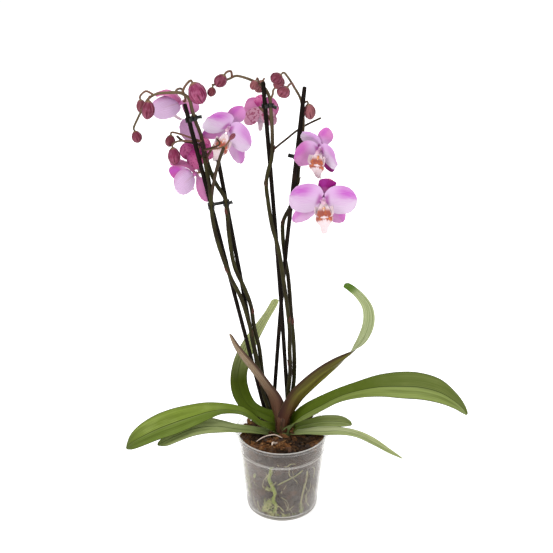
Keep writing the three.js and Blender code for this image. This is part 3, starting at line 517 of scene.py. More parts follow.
def leaf_material():
    paint = Paint("leaf", Roughness=0.45, Specular_IOR_Level=0.07)
    across, along, top = paint.split(paint.attribute("place"))
    dark, fade, pale = paint.split(paint.attribute("tint"))
    blotch = paint.noise(paint.place(), 38, 4)
    fibres = paint.fibres((across, along), (24, 2.2))
    bands = paint.fibres((across, along), (3, 4))
    young = paint.mix(paint.between(blotch, 0.35, 0.68), (0.17, 0.235, 0.03), (0.225, 0.29, 0.06))
    green = paint.mix(paint.clamped(dark), young, (0.04, 0.058, 0.002))
    bleached = paint.clamped(dark, -1)
    green = paint.over(green, (0.52, 0.54, 0.33), bleached)
    low = paint.between(along, 0.5, 0.12)
    green = paint.over(green, (0.06, 0.1, 0.002), low, 0.6)
    # Painted light shining through the leaf: its far end turns pale yellow-green as far as the
    # second tint says.
    high = paint.times(paint.between(along, 0.42, 0.72), fade)
    green = paint.over(green, (0.56, 0.61, 0.26), high, 0.9)
    # Painted sheen on the near half where the third tint is above 0, and painted shade on it where
    # that tint is below 0.
    near_half = paint.between(across, -0.02, 0.1)
    painted_sheen_half = paint.clamped(near_half, pale)
    painted_shade_half = paint.clamped(near_half, paint.times(pale, -1))
    green = paint.over(green, (0.3, 0.37, 0.1), painted_sheen_half, 0.7)
    green = paint.over(green, (0.1, 0.15, 0.022), painted_shade_half, 0.8)
    green = paint.over(green, (0.07, 0.1, 0.008), paint.between(bands, 0.46, 0.62), 0.35)
    green = paint.over(green, (0.045, 0.065, 0.004), paint.between(fibres, 0.45, 0.62), 0.35)
    # Painted shade in the midrib's groove: a dark line down the middle of the upper face.
    rib = paint.between(paint.off(across, 0.02), 0.055, 0.015)
    green = paint.over(green, (0.03, 0.045, 0.004), rib, 0.85)
    # Painted highlight along the crest of the fold, left off dark leaves.
    painted_crest_highlight = paint.between(paint.off(across, 0.1), 0.07, 0.0)
    painted_crest_highlight = paint.times(painted_crest_highlight, paint.rest(dark))
    green = paint.over(green, (0.28, 0.33, 0.13), painted_crest_highlight, 0.3)
    edge = paint.between(paint.off(across), 0.9, 0.985)
    green = paint.over(green, (0.035, 0.045, 0.008), edge, 0.8)
    tip = paint.times(paint.between(along, 0.74, 1.0), paint.rest(fade))
    tip = paint.times(tip, paint.times(pale, -0.45, 0.45))
    green = paint.over(green, (0.06, 0.08, 0.012), tip)
    under = paint.between(top, 0.05, -0.15)
    beneath = paint.mix(paint.between(fibres, 0.4, 0.65), (0.2, 0.25, 0.1), (0.13, 0.17, 0.05))
    paint.set("Base Color", paint.mix(under, green, beneath))
    paint.set("Roughness", paint.times(blotch, 0.3, 0.3))
    paint.bump(fibres, 0.0004, 0.6)
    return paint.material


def young_leaf_material():
    paint = Paint("young_leaf", Roughness=0.45, Specular_IOR_Level=0.1)
    across, along, top = paint.split(paint.attribute("place"))
    olive_leaf, _, _ = paint.split(paint.attribute("tint"))
    fibres = paint.fibres((across, along), (20, 3))
    bands = paint.fibres((across, along), (3, 5))
    purple = paint.mix(paint.between(fibres, 0.35, 0.65), (0.12, 0.065, 0.038), (0.28, 0.22, 0.14))
    purple = paint.over(purple, (0.07, 0.03, 0.016), paint.between(along, 0.72, 0.3))
    olive = paint.mix(paint.between(bands, 0.35, 0.65), (0.06, 0.048, 0.008), (0.105, 0.1, 0.012))
    olive = paint.over(olive, (0.055, 0.02, 0.009), paint.between(along, 0.25, 0.14))
    under = paint.mix(olive_leaf, purple, olive)
    side = paint.between(across, 0.3, 0.85)
    under = paint.over(under, (0.028, 0.008, 0.006), side, 0.85)
    purple_leaf = paint.between(olive_leaf, 0.5, 0.4)
    rims = paint.times(paint.between(paint.off(across), 0.7, 0.95), purple_leaf)
    under = paint.over(under, (0.04, 0.018, 0.01), rims, 0.75)
    lower_edge = paint.times(paint.between(across, -0.8, -0.9), olive_leaf)
    lower_edge = paint.times(lower_edge, paint.between(along, 0.3, 0.4))
    under = paint.over(under, (0.34, 0.33, 0.2), lower_edge)
    above = paint.mix(paint.between(fibres, 0.38, 0.62), (0.17, 0.21, 0.07), (0.42, 0.46, 0.26))
    above = paint.over(above, (0.06, 0.12, 0.008), paint.between(along, 0.88, 0.94))
    # Painted shade in the midrib's groove: a dark line down the middle of the upper face.
    rib = paint.between(paint.off(across), 0.09, 0.0)
    above = paint.over(above, (0.1, 0.14, 0.04), rib, 0.5)
    paint.set("Base Color", paint.mix(paint.between(top, -0.15, 0.05), under, above))
    paint.bump(fibres, 0.0003, 0.5)
    return paint.material


def sheath_rows(first, drops):
    """Rows that wrap the crown below a leaf's first free row: how far below, half width, fold."""
    FOOT_RADIUS = 8.6
    WIDENING = 0.1
    LOWEST = 99
    WIDENS_FROM = 105
    FACE_RISE = 0.2
    out = Vector((first[0], first[1], 0)).normalized()
    rows = []
    for drop, half, fold in drops:
        height = max(first[2] - drop, LOWEST)
        share = (height - CROWN_FOOT.z) / (CROWN_TOP.z - CROWN_FOOT.z)
        middle = CROWN_FOOT.lerp(CROWN_TOP, share)
        keel = middle + out * (FOOT_RADIUS + WIDENING * (height - WIDENS_FROM))
        face = (-out + UP * FACE_RISE).normalized()
        rows.append((keel.x, keel.y, height, half, *face, fold))
    return rows


def make_leaf(name, rows, material, slot):
    PER_SPAN = 6
    BASE_THICKNESS = 1.7
    TIP_THINNING = 0.8
    EDGE_THINNING = 0.35
    PINCH = 14
    TIP_SHARE = 0.15
    RIB_DEPTH = 0.8
    RIB_WIDTH = 1.1
    RIB_FADE = 0.6
    USUAL_HALF = 14
    TIP_HALF = 0.2
    EDGE_WAVES = 17
    EDGE_WAVE_SHARE = 0.3
    seed = 10 * (1 + sorted(LEAVES).index(name))
    near_side = 1 if rows[-1][0] > 0 else -1
    rim = 0.8 if slot == "leaf_young" else 1.6

    def thickness(a, t):
        pinch = min(1, PINCH * (1 - t) + TIP_SHARE)
        return (BASE_THICKNESS - TIP_THINNING * t) * (1 - EDGE_THINNING * abs(a)) * pinch

    def relief(a, t):
        wave = noise.noise(Vector((a * 0.8, t * 5.5, seed))) * rim * abs(a) ** 1.5
        edge = EDGE_WAVE_SHARE * rim * math.sin(EDGE_WAVES * t + seed) * abs(a) ** 3
        rib = -RIB_DEPTH * math.exp(-((a * USUAL_HALF / RIB_WIDTH) ** 2)) * (1 - RIB_FADE * t)
        return (wave + edge) * min(1, 4 * t) + rib

    def ease(share):
        """Rows stand closer together towards the tip."""
        return 1 - (1 - share) ** 1.25

    frames = blade_frames(smooth_curve(rows, PER_SPAN))
    centre, side, face, _, fold = frames[-1]
    frames[-1] = (centre, side, face, TIP_HALF, fold)
    bm = new_mesh()
    add_blade(bm, frames, 28, 64, thickness, LEAF_TINTS[name], ease, relief, near_side)
    finish_piece(bm, name + "_blade", material, [name], 1)


def make_leaves():
    """Each leaf with the sheath that wraps the crown: short on old leaves, long on young ones."""
    kinds = {
        "leaf": (leaf_material(), [(14, 6, 0.9), (7, 9, 0.9)]),
        "leaf_young": (young_leaf_material(), [(28, 8.5, 1), (18, 10.5, 1), (8, 12, 0.8)]),
    }
    for name, rows in LEAVES.items():
        slot = "leaf_young" if name in YOUNG_LEAVES else "leaf"
        material, sheath = kinds[slot]
        make_leaf(name, sheath_rows(rows[0], sheath) + rows[1:], material, slot)


# Stakes: sticks with a slight bow.
STAKES = {
    "stake_far_left": [(-5.5, 29.5, 42), (-48, 14, 248), (-108, -8, 537)],
    "stake_left": [(-10.5, 36.5, 43), (-40, 22, 245), (-74, 6, 470)],
    "stake_centre": [(12, 17, 52), (-2, 14, 290), (-22, 10, 557)],
    "stake_right": [(-14.5, 43.5, 66), (1.5, 24.5, 315), (23.8, 4.1, 553)],
}
STAKE_RADIUS = 2.5


def stake_material():
    paint = Paint("stake_wood", Roughness=0.75, Specular_IOR_Level=0.06)
    x, y, along = paint.split(paint.attribute("place"))
    grain = paint.fibres((x, y, along), (2.5, 2.5, 25), 2.0, 4)
    wood = paint.mix(paint.between(grain, 0.35, 0.7), (0.004, 0.0025, 0.002), (0.014, 0.009, 0.006))
    patch = paint.noise(paint.place(), 24, 3)
    wood = paint.over(wood, (0.05, 0.03, 0.018), paint.between(patch, 0.55, 0.75), 0.4)
    paint.set("Base Color", wood)
    paint.bump(grain, 0.0003, 0.6)
    return paint.material


def make_stakes():
    material = stake_material()
    for name, points in STAKES.items():
        line = evenly(smooth_curve(points, 40), 6)
        bm = new_mesh()
        add_tube(bm, line, lambda s: STAKE_RADIUS, 16, ends=(0.86, 0.9), wobble=0.06)
        finish_piece(bm, name + "_stick", material, [name])


# Buds: base, tip, greatest radius, and how dark, how pale and how brown they are.
BUDS = {
    "bud_tail_end": ((-163, -21, 510.6), (-158, -22, 497.5), 5.9, (0.8, 0.1, 0.1)),
    "bud_tail_front": ((-145, -26.5, 546.2), (-147, -28.5, 525), 7.2, (0.65, 0.3, 0.1)),
    "bud_tail_back": ((-156, -12, 543.6), (-154, -12, 527.5), 5.6, (0.7, 0.1, 0.3)),
    "bud_large": ((-98.8, -11.4, 561.8), (-86.5, -14, 539.5), 10.4, (0.2, 0.5, 0)),
    "bud_arch_end": ((-77, -6.6, 555.8), (-79, -8, 545), 4.9, (0.9, 0, 0.2)),
    "bud_arch": ((-63.4, -8.4, 569.8), (-72, -9, 556), 7, (0.85, 0.2, 0.1)),
    "bud_pale": ((-22, 23, 556), (-29, 27, 541), 6.2, (0.1, 0.4, 0.9)),
    "bud_dark": ((-29.5, 7, 560), (-34, 6.5, 549), 4.9, (0.6, 0.2, 0.6)),
    "bud_tip_left": ((-2, -11.6, 571), (-12, -13, 562), 7.2, (0.85, 0.1, 0.1)),
    "bud_tip_right": ((5, -6.2, 556), (-4, -7, 544.5), 7.6, (0.6, 0.3, 0.3)),
    "bud_tip_back": ((-9.2, 14, 549.2), (0, 14, 561), 6.2, (0.6, 0.3, 0.4)),
    "bud_by_stake": ((28, 12.5, 532.2), (32.5, 11.5, 514), 6.8, (0.15, 0.4, 0.8)),
    "bud_shoot_upper": ((-126.5, 9, 497.2), (-128.5, 8, 483), 5.8, (0.8, 0, 0.2)),
    "bud_shoot_lower": ((-124, -1.5, 485.8), (-120.5, -3.5, 466), 7.4, (0.5, 0.3, 0)),
    "bud_small": ((-58, -33.1, 504.1), (-52.5, -33.5, 511.5), 2.7, (0.6, 0, 0.4)),
}
# A bud's radius along it, as a share of its greatest.
BUD_PROFILE = [
    (0, 0.2), (0.06, 0.42), (0.16, 0.7), (0.4, 0.98), (0.55, 1), (0.75, 0.88), (0.92, 0.5), (1, 0),
]


def bud_material():
    paint = Paint("bud", Roughness=0.5, Specular_IOR_Level=0.15)
    x, y, along = paint.split(paint.attribute("place"))
    dark, pale, brown = paint.split(paint.attribute("tint"))
    veins = paint.fibres((x, y, along), (3, 3, 0.8), 1.6, 2)
    blotch = paint.noise(paint.place(), 180, 3)
    skin = paint.mix(dark, (0.23, 0.026, 0.09), (0.085, 0.004, 0.014))
    skin = paint.over(skin, (0.38, 0.12, 0.22), paint.between(blotch, 0.4, 0.7), pale)
    skin = paint.over(skin, (0.3, 0.15, 0.1), brown, 0.6)
    skin = paint.over(skin, (0.06, 0.002, 0.014), paint.between(veins, 0.5, 0.66), 0.85)
    pale_streaks = paint.times(paint.between(veins, 0.44, 0.32), 0.4)
    skin = paint.over(skin, (0.42, 0.15, 0.22), pale_streaks)
    green_end = paint.between(along, 0.14, 0.0)
    skin = paint.over(skin, (0.22, 0.17, 0.07), green_end, 0.7)
    paint.set("Base Color", skin)
    paint.bump(veins, 0.0004, 0.5)
    return paint.material


def make_bud(name, material):
    GROOVE_DEPTH = 0.16
    GROOVE_WIDTH = 0.07
    GROOVE_TWIST = 0.25
    SWELLING = 0.035
    HOOK = 0.12
    base, tip, radius, tint = BUDS[name]
    base, tip = Vector(base), Vector(tip)
    axis = tip - base
    along = axis.normalized()
    side = along.cross(Vector((0, -1, 0.2))).normalized()
    other = along.cross(side)
    seed = radius * 7.3

    def shape(turn, share):
        t = 0.5 - 0.5 * math.cos(math.pi * share)
        angle = 2 * math.pi * turn
        seam = min(abs((turn * 3 + seed + GROOVE_TWIST * t) % 1 - 0.5), 0.5)
        groove = GROOVE_DEPTH * math.exp(-((seam / GROOVE_WIDTH) ** 2))
        swelling = SWELLING * math.cos(2 * math.pi * (turn * 3 + seed))
        r = radius * curve_value(BUD_PROFILE, t) * (1 - groove + swelling)
        hook = side * (HOOK * radius * t * t)
        x, y = math.cos(angle), math.sin(angle)
        return base + axis * t + hook + side * (x * r) + other * (y * r), (x, y, t)

    bm = new_mesh()
    add_skin(bm, 36, 20, shape, tint)
    finish_piece(bm, name + "_closed", material, [name], 1)


def make_buds():
    material = bud_material()
    for name in BUDS:
        make_bud(name, material)


# Blooms: centre, the way the face looks, size, then the dorsal sepal, right and left petal, and
# right and left lower sepal: degrees clockwise from the top, length, half width, lean out of
# the flower's plane, bend along it and turn about its own length, the last three in degrees.
BLOOMS = {
    "bloom_far_left": (
        (-114.5, 14, 533), (-0.93, 0.08, -0.36), 0.78,
        [
            (0, 43, 18, 50, 84, 0), (76, 47, 16.5, 52, 26, 0), (-70, 36, 17, 76, 30, 0),
            (150, 28, 13, -40, 20, 60), (-128, 34, 11.5, -10, 20, 0),
        ],
    ),
    "bloom_left": (
        (-61, 5, 507), (-0.12, -0.93, -0.3), 0.88,
        [
            (31, 39, 11.5, 4, 20, 0), (110, 40, 20, 32, 26, 0), (-42, 37, 22, 24, 28, 0),
            (166, 56, 11, 6, 16, 0), (-112, 38, 10.5, 4, 16, 0),
        ],
    ),
    "bloom_behind": (
        (-26, 33, 522), (0.1, 0.92, -0.35), 0.66,
        [
            (0, 27, 12.5, 28, 20, 0), (88, 34, 18.5, 28, 20, 0), (-84, 35, 18.5, 28, 20, 0),
            (136, 42, 13, 22, 20, 0), (-136, 41, 13, 22, 20, 0),
        ],
    ),
    "bloom_right_upper": (
        (42, -9, 487), (-0.32, -0.83, -0.42), 0.9,
        [
            (24, 39, 9.8, 4, 24, 0), (96, 36, 18, 36, 34, 0), (-92, 37, 19.5, 40, 50, 0),
            (160, 38, 9, 10, 20, 0), (-34, 34, 12, 10, 20, 0),
        ],
    ),
    "bloom_right": (
        (46, -12, 427), (0.02, -0.95, -0.24), 1,
        [
            (9, 32, 10.5, 10, 26, 0), (83, 39, 20.3, 8, 22, 0), (-74, 41, 20.8, 8, 22, 0),
            (140, 38, 11.5, 10, 18, 0), (-128, 45, 10.5, 8, 18, 0),
        ],
    ),
    "bloom_left_lower": (
        (-101, 8, 451), (-0.93, -0.02, -0.36), 0.78,
        [
            (0, 46, 16, 44, 92, 0), (98, 40, 19, 50, 30, 0), (-66, 42, 20, 62, 30, 0),
            (170, 46, 11, 0, 20, 60), (-128, 34, 11, 4, 20, 0),
        ],
    ),
    "bloom_left_back": (
        (-97, 20, 481), (-0.35, 0.75, -0.45), 0.76,
        [
            (24, 46, 16, -8, 20, 0), (108, 30, 14, 24, 24, 0), (-70, 28, 15, 24, 24, 0),
            (160, 38, 14, 16, 20, 0), (-128, 32, 12.5, 20, 20, 0),
        ],
    ),
}
# How far a bloom's lip is turned clockwise from straight down, in degrees.
LIP_TURNS = {
    "bloom_far_left": 35,
    "bloom_left": 24,
    "bloom_right_upper": 4,
    "bloom_right": -3,
    "bloom_left_lower": 35,
}
# How far a lip is lowered: in full at LIP_REACH or more out of the face, and less nearer to it.
LIP_DROPS = {
    "bloom_far_left": -4,
    "bloom_left": 12,
    "bloom_right_upper": 3,
    "bloom_left_lower": -4,
}
USUAL_LIP_DROP = 2.5
LIP_REACH = 12
# Colour of the same five: depth (below 0 peach), magenta flush, paleness.
BLOOM_TINTS = {
    "bloom_far_left": [
        (0.75, 0.8, 0), (0.05, 0.5, 1), (0.2, 0.8, 0.4), (0.3, 0.2, 0), (-0.6, 0, 0.3),
    ],
    "bloom_left": [
        (0.3, 0.7, 0.1), (0.05, 0.35, 0.85), (0.1, 1, 1), (0.15, 0.4, 0.4), (0.35, 0.9, 0.1),
    ],
    "bloom_behind": [
        (0.9, 0.9, 0), (0.6, 0.7, 0.15), (0.84, 0.7, 0.1), (-0.5, 0.2, 0.1), (-0.5, 0, 0.2),
    ],
    "bloom_right_upper": [
        (0.35, 0.7, 0.1), (0.05, 0.2, 1), (0.35, 0.6, 0.25), (0.9, 0.8, 0), (0, 0, 1),
    ],
    "bloom_right": [(1, 0.3, 0), (0.05, 1, 0.85), (0.05, 1, 0.7), (0.3, 0.5, 0.2), (0.2, 0.4, 0.4)],
    "bloom_left_lower": [(0.6, 1, 0), (0.05, 0.5, 0.95), (0.7, 1, 0), (0.3, 0.3, 0), (0.3, 0.3, 0)],
    "bloom_left_back": [
        (0.15, 0.7, 0.6), (0.9, 0.6, 0), (0.9, 0.6, 0), (0.95, 0.6, 0), (0.9, 0.6, 0),
    ],
}
# Blooms whose dorsal sepal arches forward as a hood.
HOODED = ("bloom_far_left", "bloom_left_lower", "bloom_right")
HUB_BACK = 3.6
HUB_FRONT = 2.4
SEPAL_DEPTH = -1.8
PETAL_DEPTH = 1
HUB_GIRTH = [(0, 1.5), (2, 3.4), (4, 4), (6, 3.2)]
# Half widths along a petal, sepal or hood, as shares of its greatest.
PETAL_OUTLINE = [
    (0, 0.22), (0.06, 0.48), (0.14, 0.72), (0.26, 0.9), (0.42, 1), (0.6, 0.98), (0.78, 0.87),
    (0.9, 0.66), (0.97, 0.38), (1, 0),
]
SEPAL_OUTLINE = [
    (0, 0.26), (0.1, 0.42), (0.28, 0.76), (0.5, 1), (0.66, 0.98), (0.82, 0.78), (0.94, 0.46), (1, 0),
]
HOOD_OUTLINE = [
    (0, 0.62), (0.2, 0.72), (0.45, 0.84), (0.7, 0.97), (0.86, 1), (0.95, 0.84), (0.985, 0.5), (1, 0),
]


class Flower:
    """A bloom's own directions, and places in it: across, up and out of its face."""

    def __init__(self, name):
        place, look, self.size, self.tepals = BLOOMS[name]
        self.centre = Vector(place)
        self.out = Vector(look).normalized()
        self.up = (UP - self.out * UP.dot(self.out)).normalized()
        self.across = self.up.cross(self.out)
        self.lip_drop = LIP_DROPS.get(name, USUAL_LIP_DROP)
        self.lip_turn = Matrix.Rotation(math.radians(LIP_TURNS.get(name, 0)), 3, -self.out)

    def at(self, x, y, z):
        return self.centre + (self.across * x + self.up * y + self.out * z) * self.size

    def way(self, x, y, z):
        return (self.across * x + self.up * y + self.out * z).normalized()

    def lip_at(self, x, y, z):
        place = self.at(x, y - self.lip_drop * min(1, z / LIP_REACH), z)
        return self.centre + self.lip_turn @ (place - self.centre)

    def lip_way(self, x, y, z):
        return self.lip_turn @ self.way(x, y, z)


def tepal_rows(flower, tepal, depth, outline):
    """Rows of a petal or sepal, which leans out of the flower's plane and bends on along it."""
    COUNT = 22
    FOLD = 0.14
    NARROWEST = 0.05
    degrees, length, half, lean_degrees, bend_degrees, turn_degrees = tepal
    angle, lean, bend = (math.radians(value) for value in (degrees, lean_degrees, bend_degrees))
    sine, cosine = math.sin(angle), math.cos(angle)
    first = lean - bend / 2
    rows = []
    for i in range(COUNT + 1):
        t = 0.03 + 0.97 * math.sin(0.5 * math.pi * i / COUNT)
        here = first + bend * t
        rise, run = math.sin(here), math.cos(here)
        radial = length * (rise - math.sin(first)) / bend
        forward = depth + length * (math.cos(first) - run) / bend
        centre = flower.at(radial * sine, radial * cosine, forward)
        face = flower.way(-rise * sine, -rise * cosine, run)
        if turn_degrees:
            along = flower.way(run * sine, run * cosine, rise)
            face = Matrix.Rotation(math.radians(turn_degrees) * min(1, 3 * t), 3, along) @ face
        width = max(half * curve_value(outline, t) * flower.size, NARROWEST)
        rows.append((*centre, width, *face, FOLD))
    return rows


def add_tepal(bm, flower, tepal, depth, outline, tint, seed):
    THICKNESS = 0.85
    EDGE_THINNING = 0.3
    TIP_THINNING = 0.15
    GROOVE_DEPTH = 0.5
    GROOVE_WIDTH = 0.06
    WIDE_FROM = 15
    frames = blade_frames(tepal_rows(flower, tepal, depth, outline))
    wide = tepal[2] > WIDE_FROM
    ripple_height = 3.0 if wide else 1.8

    def relief(a, t):
        ripple = noise.noise(Vector((a * 1.3, t * 3.2, seed))) * ripple_height
        ripple += 0.5 * math.sin(9 * a + 5 * t + seed) * abs(a) ** 2
        groove = -GROOVE_DEPTH * math.exp(-((a / GROOVE_WIDTH) ** 2)) * (1 - t)
        return (ripple * (0.25 + abs(a)) * t + groove) * flower.size

    def thickness(a, t):
        return THICKNESS - EDGE_THINNING * abs(a) - TIP_THINNING * t

    flip = 1 if tepal[0] < 0 else -1
    add_blade(bm, frames, 28 if wide else 20, 22, thickness, tint, None, relief, flip)


def petal_material():
    paint = Paint("petal", Roughness=0.5, Specular_IOR_Level=0.15)
    across, along, top = paint.split(paint.attribute("place"))
    depth, flush, pale = paint.split(paint.attribute("tint"))
    warp = paint.fibres((across, along), (2.6, 2))
    warp = paint.math("SUBTRACT", warp, 0.5)
    streaks = paint.fibres((across, along), (13, 1.3))
    fan = paint.times(across, 8.5, paint.times(warp, 3.2))
    ridge = paint.off(paint.math("FRACT", fan), 0.5)
    vein = paint.times(paint.between(ridge, 0.13, 0.0), paint.between(along, 1.0, 0.5))
    deep = paint.times(depth, paint.between(along, 0.05, 0.42))
    pinker = paint.mix(
        paint.between(deep, 0.0, 0.5, smooth=False), (0.62, 0.34, 0.64), (0.6, 0.13, 0.42)
    )
    front = paint.mix(paint.between(deep, 0.5, 1.0, smooth=False), pinker, (0.25, 0.002, 0.16))
    light = paint.times(paint.between(paint.times(warp, 0.8, across), 0.45, -0.55), pale)
    front = paint.over(front, (0.67, 0.57, 0.68), light)
    rise = paint.between(paint.times(warp, 1.3, across), -0.25, 0.5)
    rise = paint.times(rise, paint.times(paint.between(across, 0.45, 1.0), -0.8, 1.0))
    outer = paint.times(paint.between(along, 0.08, 0.5), paint.between(along, 1.02, 0.8))
    magenta = paint.times(paint.times(rise, outer), flush)
    magenta = paint.times(magenta, paint.times(paint.between(streaks, 0.35, 0.7), 0.5, 0.5))
    front = paint.over(front, (0.5, 0.065, 0.5), magenta)
    front = paint.over(front, (0.46, 0.12, 0.48), vein, 0.28)
    heart = paint.times(
        paint.between(along, 0.13, 0.06), paint.between(paint.off(across), 0.7, 0.3)
    )
    core = paint.times(paint.between(along, 0.4, 0.12), paint.rest(deep))
    front = paint.over(front, (0.8, 0.62, 0.82), core, 0.35)
    front = paint.over(front, (0.4, 0.04, 0.34), heart, 0.7)
    rim = paint.between(paint.off(across), 0.9, 1.0)
    rim = paint.times(rim, paint.rest(deep))
    front = paint.over(front, (0.7, 0.5, 0.68), rim, 0.35)
    spots = paint.noise(paint.place(), 380, 1)
    back = paint.mix(paint.clamped(depth), (0.66, 0.3, 0.56), (0.68, 0.15, 0.36))
    back = paint.over(back, (0.74, 0.53, 0.76), pale)
    brim = paint.times(paint.between(across, 0.45, 0.95), flush)
    back = paint.over(back, (0.5, 0.09, 0.34), brim, 0.75)
    spotted = paint.times(paint.between(spots, 0.5, 0.6), paint.between(depth, 0.8, 0.9))
    back = paint.over(back, (0.34, 0.03, 0.13), spotted, 0.6)
    back = paint.over(back, (0.38, 0.07, 0.26), vein, 0.45)
    root = paint.times(paint.between(along, 0.42, 0.14), paint.between(depth, 0.5, 0.85))
    back = paint.over(back, (0.32, 0.008, 0.15), root, 0.8)
    keel = paint.between(paint.off(across), 0.14, 0.0)
    keel = paint.times(keel, paint.between(along, 0.5, 0.0))
    back = paint.over(back, (0.5, 0.26, 0.3), keel, 0.4)
    peach = paint.clamped(depth, -1.0)
    back = paint.over(back, (0.62, 0.36, 0.33), peach)
    freckles = paint.times(paint.between(spots, 0.5, 0.58), paint.between(depth, -0.3, -0.45))
    freckles = paint.times(freckles, paint.between(along, 0.85, 0.35))
    back = paint.over(back, (0.3, 0.02, 0.08), freckles, 0.75)
    colour = paint.mix(paint.between(top, -0.2, 0.1), back, front)
    paint.set("Base Color", colour)
    paint.bump(streaks, 0.00025, 0.6)
    through = paint.node("ShaderNodeBsdfTranslucent", {"Color": colour})
    mixed = paint.node(
        "ShaderNodeMixShader", {0: 0.2, 1: paint.shader.outputs[0], 2: through.outputs[0]}
    )
    paint.tree.links.new(mixed.outputs[0], paint.output.inputs["Surface"])
    return paint.material


def lip_material():
    paint = Paint("lip", Roughness=0.42, Specular_IOR_Level=0.35)
    across, along, top = paint.split(paint.attribute("place"))
    throat, rose, yellow = paint.split(paint.attribute("tint"))
    stripes = paint.fibres((across, along), (7, 2))
    blotch = paint.noise(paint.place(), 260, 2)
    skin = paint.mix(rose, (0.66, 0.56, 0.58), (0.52, 0.2, 0.4))
    skin = paint.over(skin, (0.6, 0.42, 0.4), paint.between(blotch, 0.42, 0.66), 0.35)
    edge = paint.between(paint.off(across), 0.8, 1.0)
    ragged = paint.times(paint.math("SUBTRACT", stripes, 0.5), 0.22, along)
    ragged = paint.times(paint.off(across), -0.07, ragged)
    fall = paint.between(ragged, 0.42, 0.35)
    fall = paint.times(fall, paint.between(along, 0.1, 0.2))
    warm = paint.times(paint.times(fall, throat), paint.between(stripes, 0.26, 0.4))
    warm = paint.times(warm, paint.times(edge, -0.6, 1.0))
    warm = paint.times(warm, paint.times(paint.between(top, -0.3, 0.2), 0.7, 0.3))
    away = paint.off(along, 0.33)
    away = paint.times(away, 18.0, paint.times(paint.off(across), 1.5))
    slit = paint.between(paint.times(stripes, 0.8, away), 1.3, 0.9)
    warm = paint.times(warm, paint.rest(slit))
    skin = paint.over(skin, (0.27, 0.035, 0.01), warm)
    skin = paint.over(skin, (0.5, 0.13, 0.02), warm, paint.between(blotch, 0.5, 0.7))
    skin = paint.over(skin, (0.6, 0.24, 0.04), yellow, paint.between(blotch, 0.6, 0.45))
    paint.set("Base Color", skin)
    return paint.material


# The lip's lobes in the flower's own directions: x, y, z, half width, the way the upper face
# looks, fold.
MIDDLE_LOBE = [
    (0, 0.5, 5, 3, 0, 0.7, 0.7, 0.3),
    (0, -3.4, 9, 6.4, 0, 0.8, 0.5, 0.45),
    (0, -8.5, 12.5, 9.2, 0, 0.7, 0.7, 0.5),
    (0, -13.5, 14.8, 10.4, 0, 0.5, 0.85, 0.4),
    (0, -18.5, 15.8, 7.6, 0, 0.2, 1, 0.25),
    (0, -24, 16, 4.8, 0, 0, 1, 0.2),
    (0, -30, 14.6, 4, 0, -0.2, 1, 0.2),
    (0, -34.6, 12.6, 3, 0, -0.4, 0.9, 0.2),
    (0, -36.4, 11.6, 1, 0, -0.5, 0.85, 0.2),
]
SIDE_LOBE = [
    (1.5, -5, 8, 3, -0.5, 0.7, 0.5, 0.2),
    (5, -6.5, 10.6, 5.4, -0.6, 0.55, 0.55, 0.25),
    (8.6, -5, 12.4, 6.4, -0.85, 0.2, 0.45, 0.3),
    (10.6, -1.2, 12.8, 5, -0.95, -0.15, 0.3, 0.3),
    (10.2, 3, 12.4, 0.6, -0.85, -0.45, 0.2, 0.3),
]
# How far a lip stands forward for each degree that its petals lean.
LIP_AHEAD_PER_DEGREE = 0.035
# The curled thread at each side of the tip, the bump between the side lobes, and the column.
TENDRIL = [(0.4, -36.2, 11.4), (1.6, -38, 11.4), (3.2, -38.6, 12.4), (4.2, -37.4, 13.6)]
CALLUS = [(-1.2, 8.4), (-2.6, 10.2), (-4.2, 11.4), (-5, 12.2)]
CALLUS_GIRTH = [(0, 1), (1.5, 1.9), (3, 1.5), (5, 0.6)]
COLUMN = [(0, 1.4), (0.6, 5), (2.4, 9), (4, 11.6), (3.4, 13.4)]
COLUMN_GIRTH = [(0, 2.4), (4, 2), (8, 2.2), (10.4, 2.7), (12.4, 2.1), (14, 0.9)]


def add_lip(bm, flower):
    THICKNESS = 1.1
    TIP_THINNING = 0.5
    TENDRIL_RADIUS = 0.42
    TENDRIL_THINNING = 0.02
    size = flower.size
    ahead = LIP_AHEAD_PER_DEGREE * flower.tepals[1][3]

    def thickness(a, t):
        return (THICKNESS - TIP_THINNING * t) * size

    def add_lobe(table, side, around, along, tint):
        rows = []
        for x, y, z, half, face_x, face_y, face_z, fold in table:
            place = flower.lip_at(side * x, y, z + ahead)
            face = flower.lip_way(side * face_x, face_y, face_z)
            rows.append((*place, half * size, *face, fold))
        frames = blade_frames(smooth_curve(rows, 4))
        add_blade(bm, frames, around, along, thickness, tint, flip=side)

    add_lobe(MIDDLE_LOBE, 1, 20, 26, (0.95, 0.05, 0))
    for side in (1, -1):
        add_lobe(SIDE_LOBE, side, 16, 14, (1, 0.1, 0))
        line = smooth_curve([flower.lip_at(side * x, y, z + ahead) for x, y, z in TENDRIL], 4)
        add_tube(bm, line, lambda s: (TENDRIL_RADIUS - TENDRIL_THINNING * s) * size, 8)
    line = evenly(smooth_curve([flower.lip_at(0, y, z + ahead) for y, z in CALLUS], 6), 0.5)
    add_tube(bm, line, lambda s: size * curve_value(CALLUS_GIRTH, s), 14, (0.2, 0, 0.9))
    column = [flower.at(0, y, z + ahead * min(1, z / LIP_REACH)) for y, z in COLUMN]
    line = evenly(smooth_curve(column), 0.7)
    add_tube(bm, line, lambda s: size * curve_value(COLUMN_GIRTH, s / size), 16, (0, 0.55, 0.05))


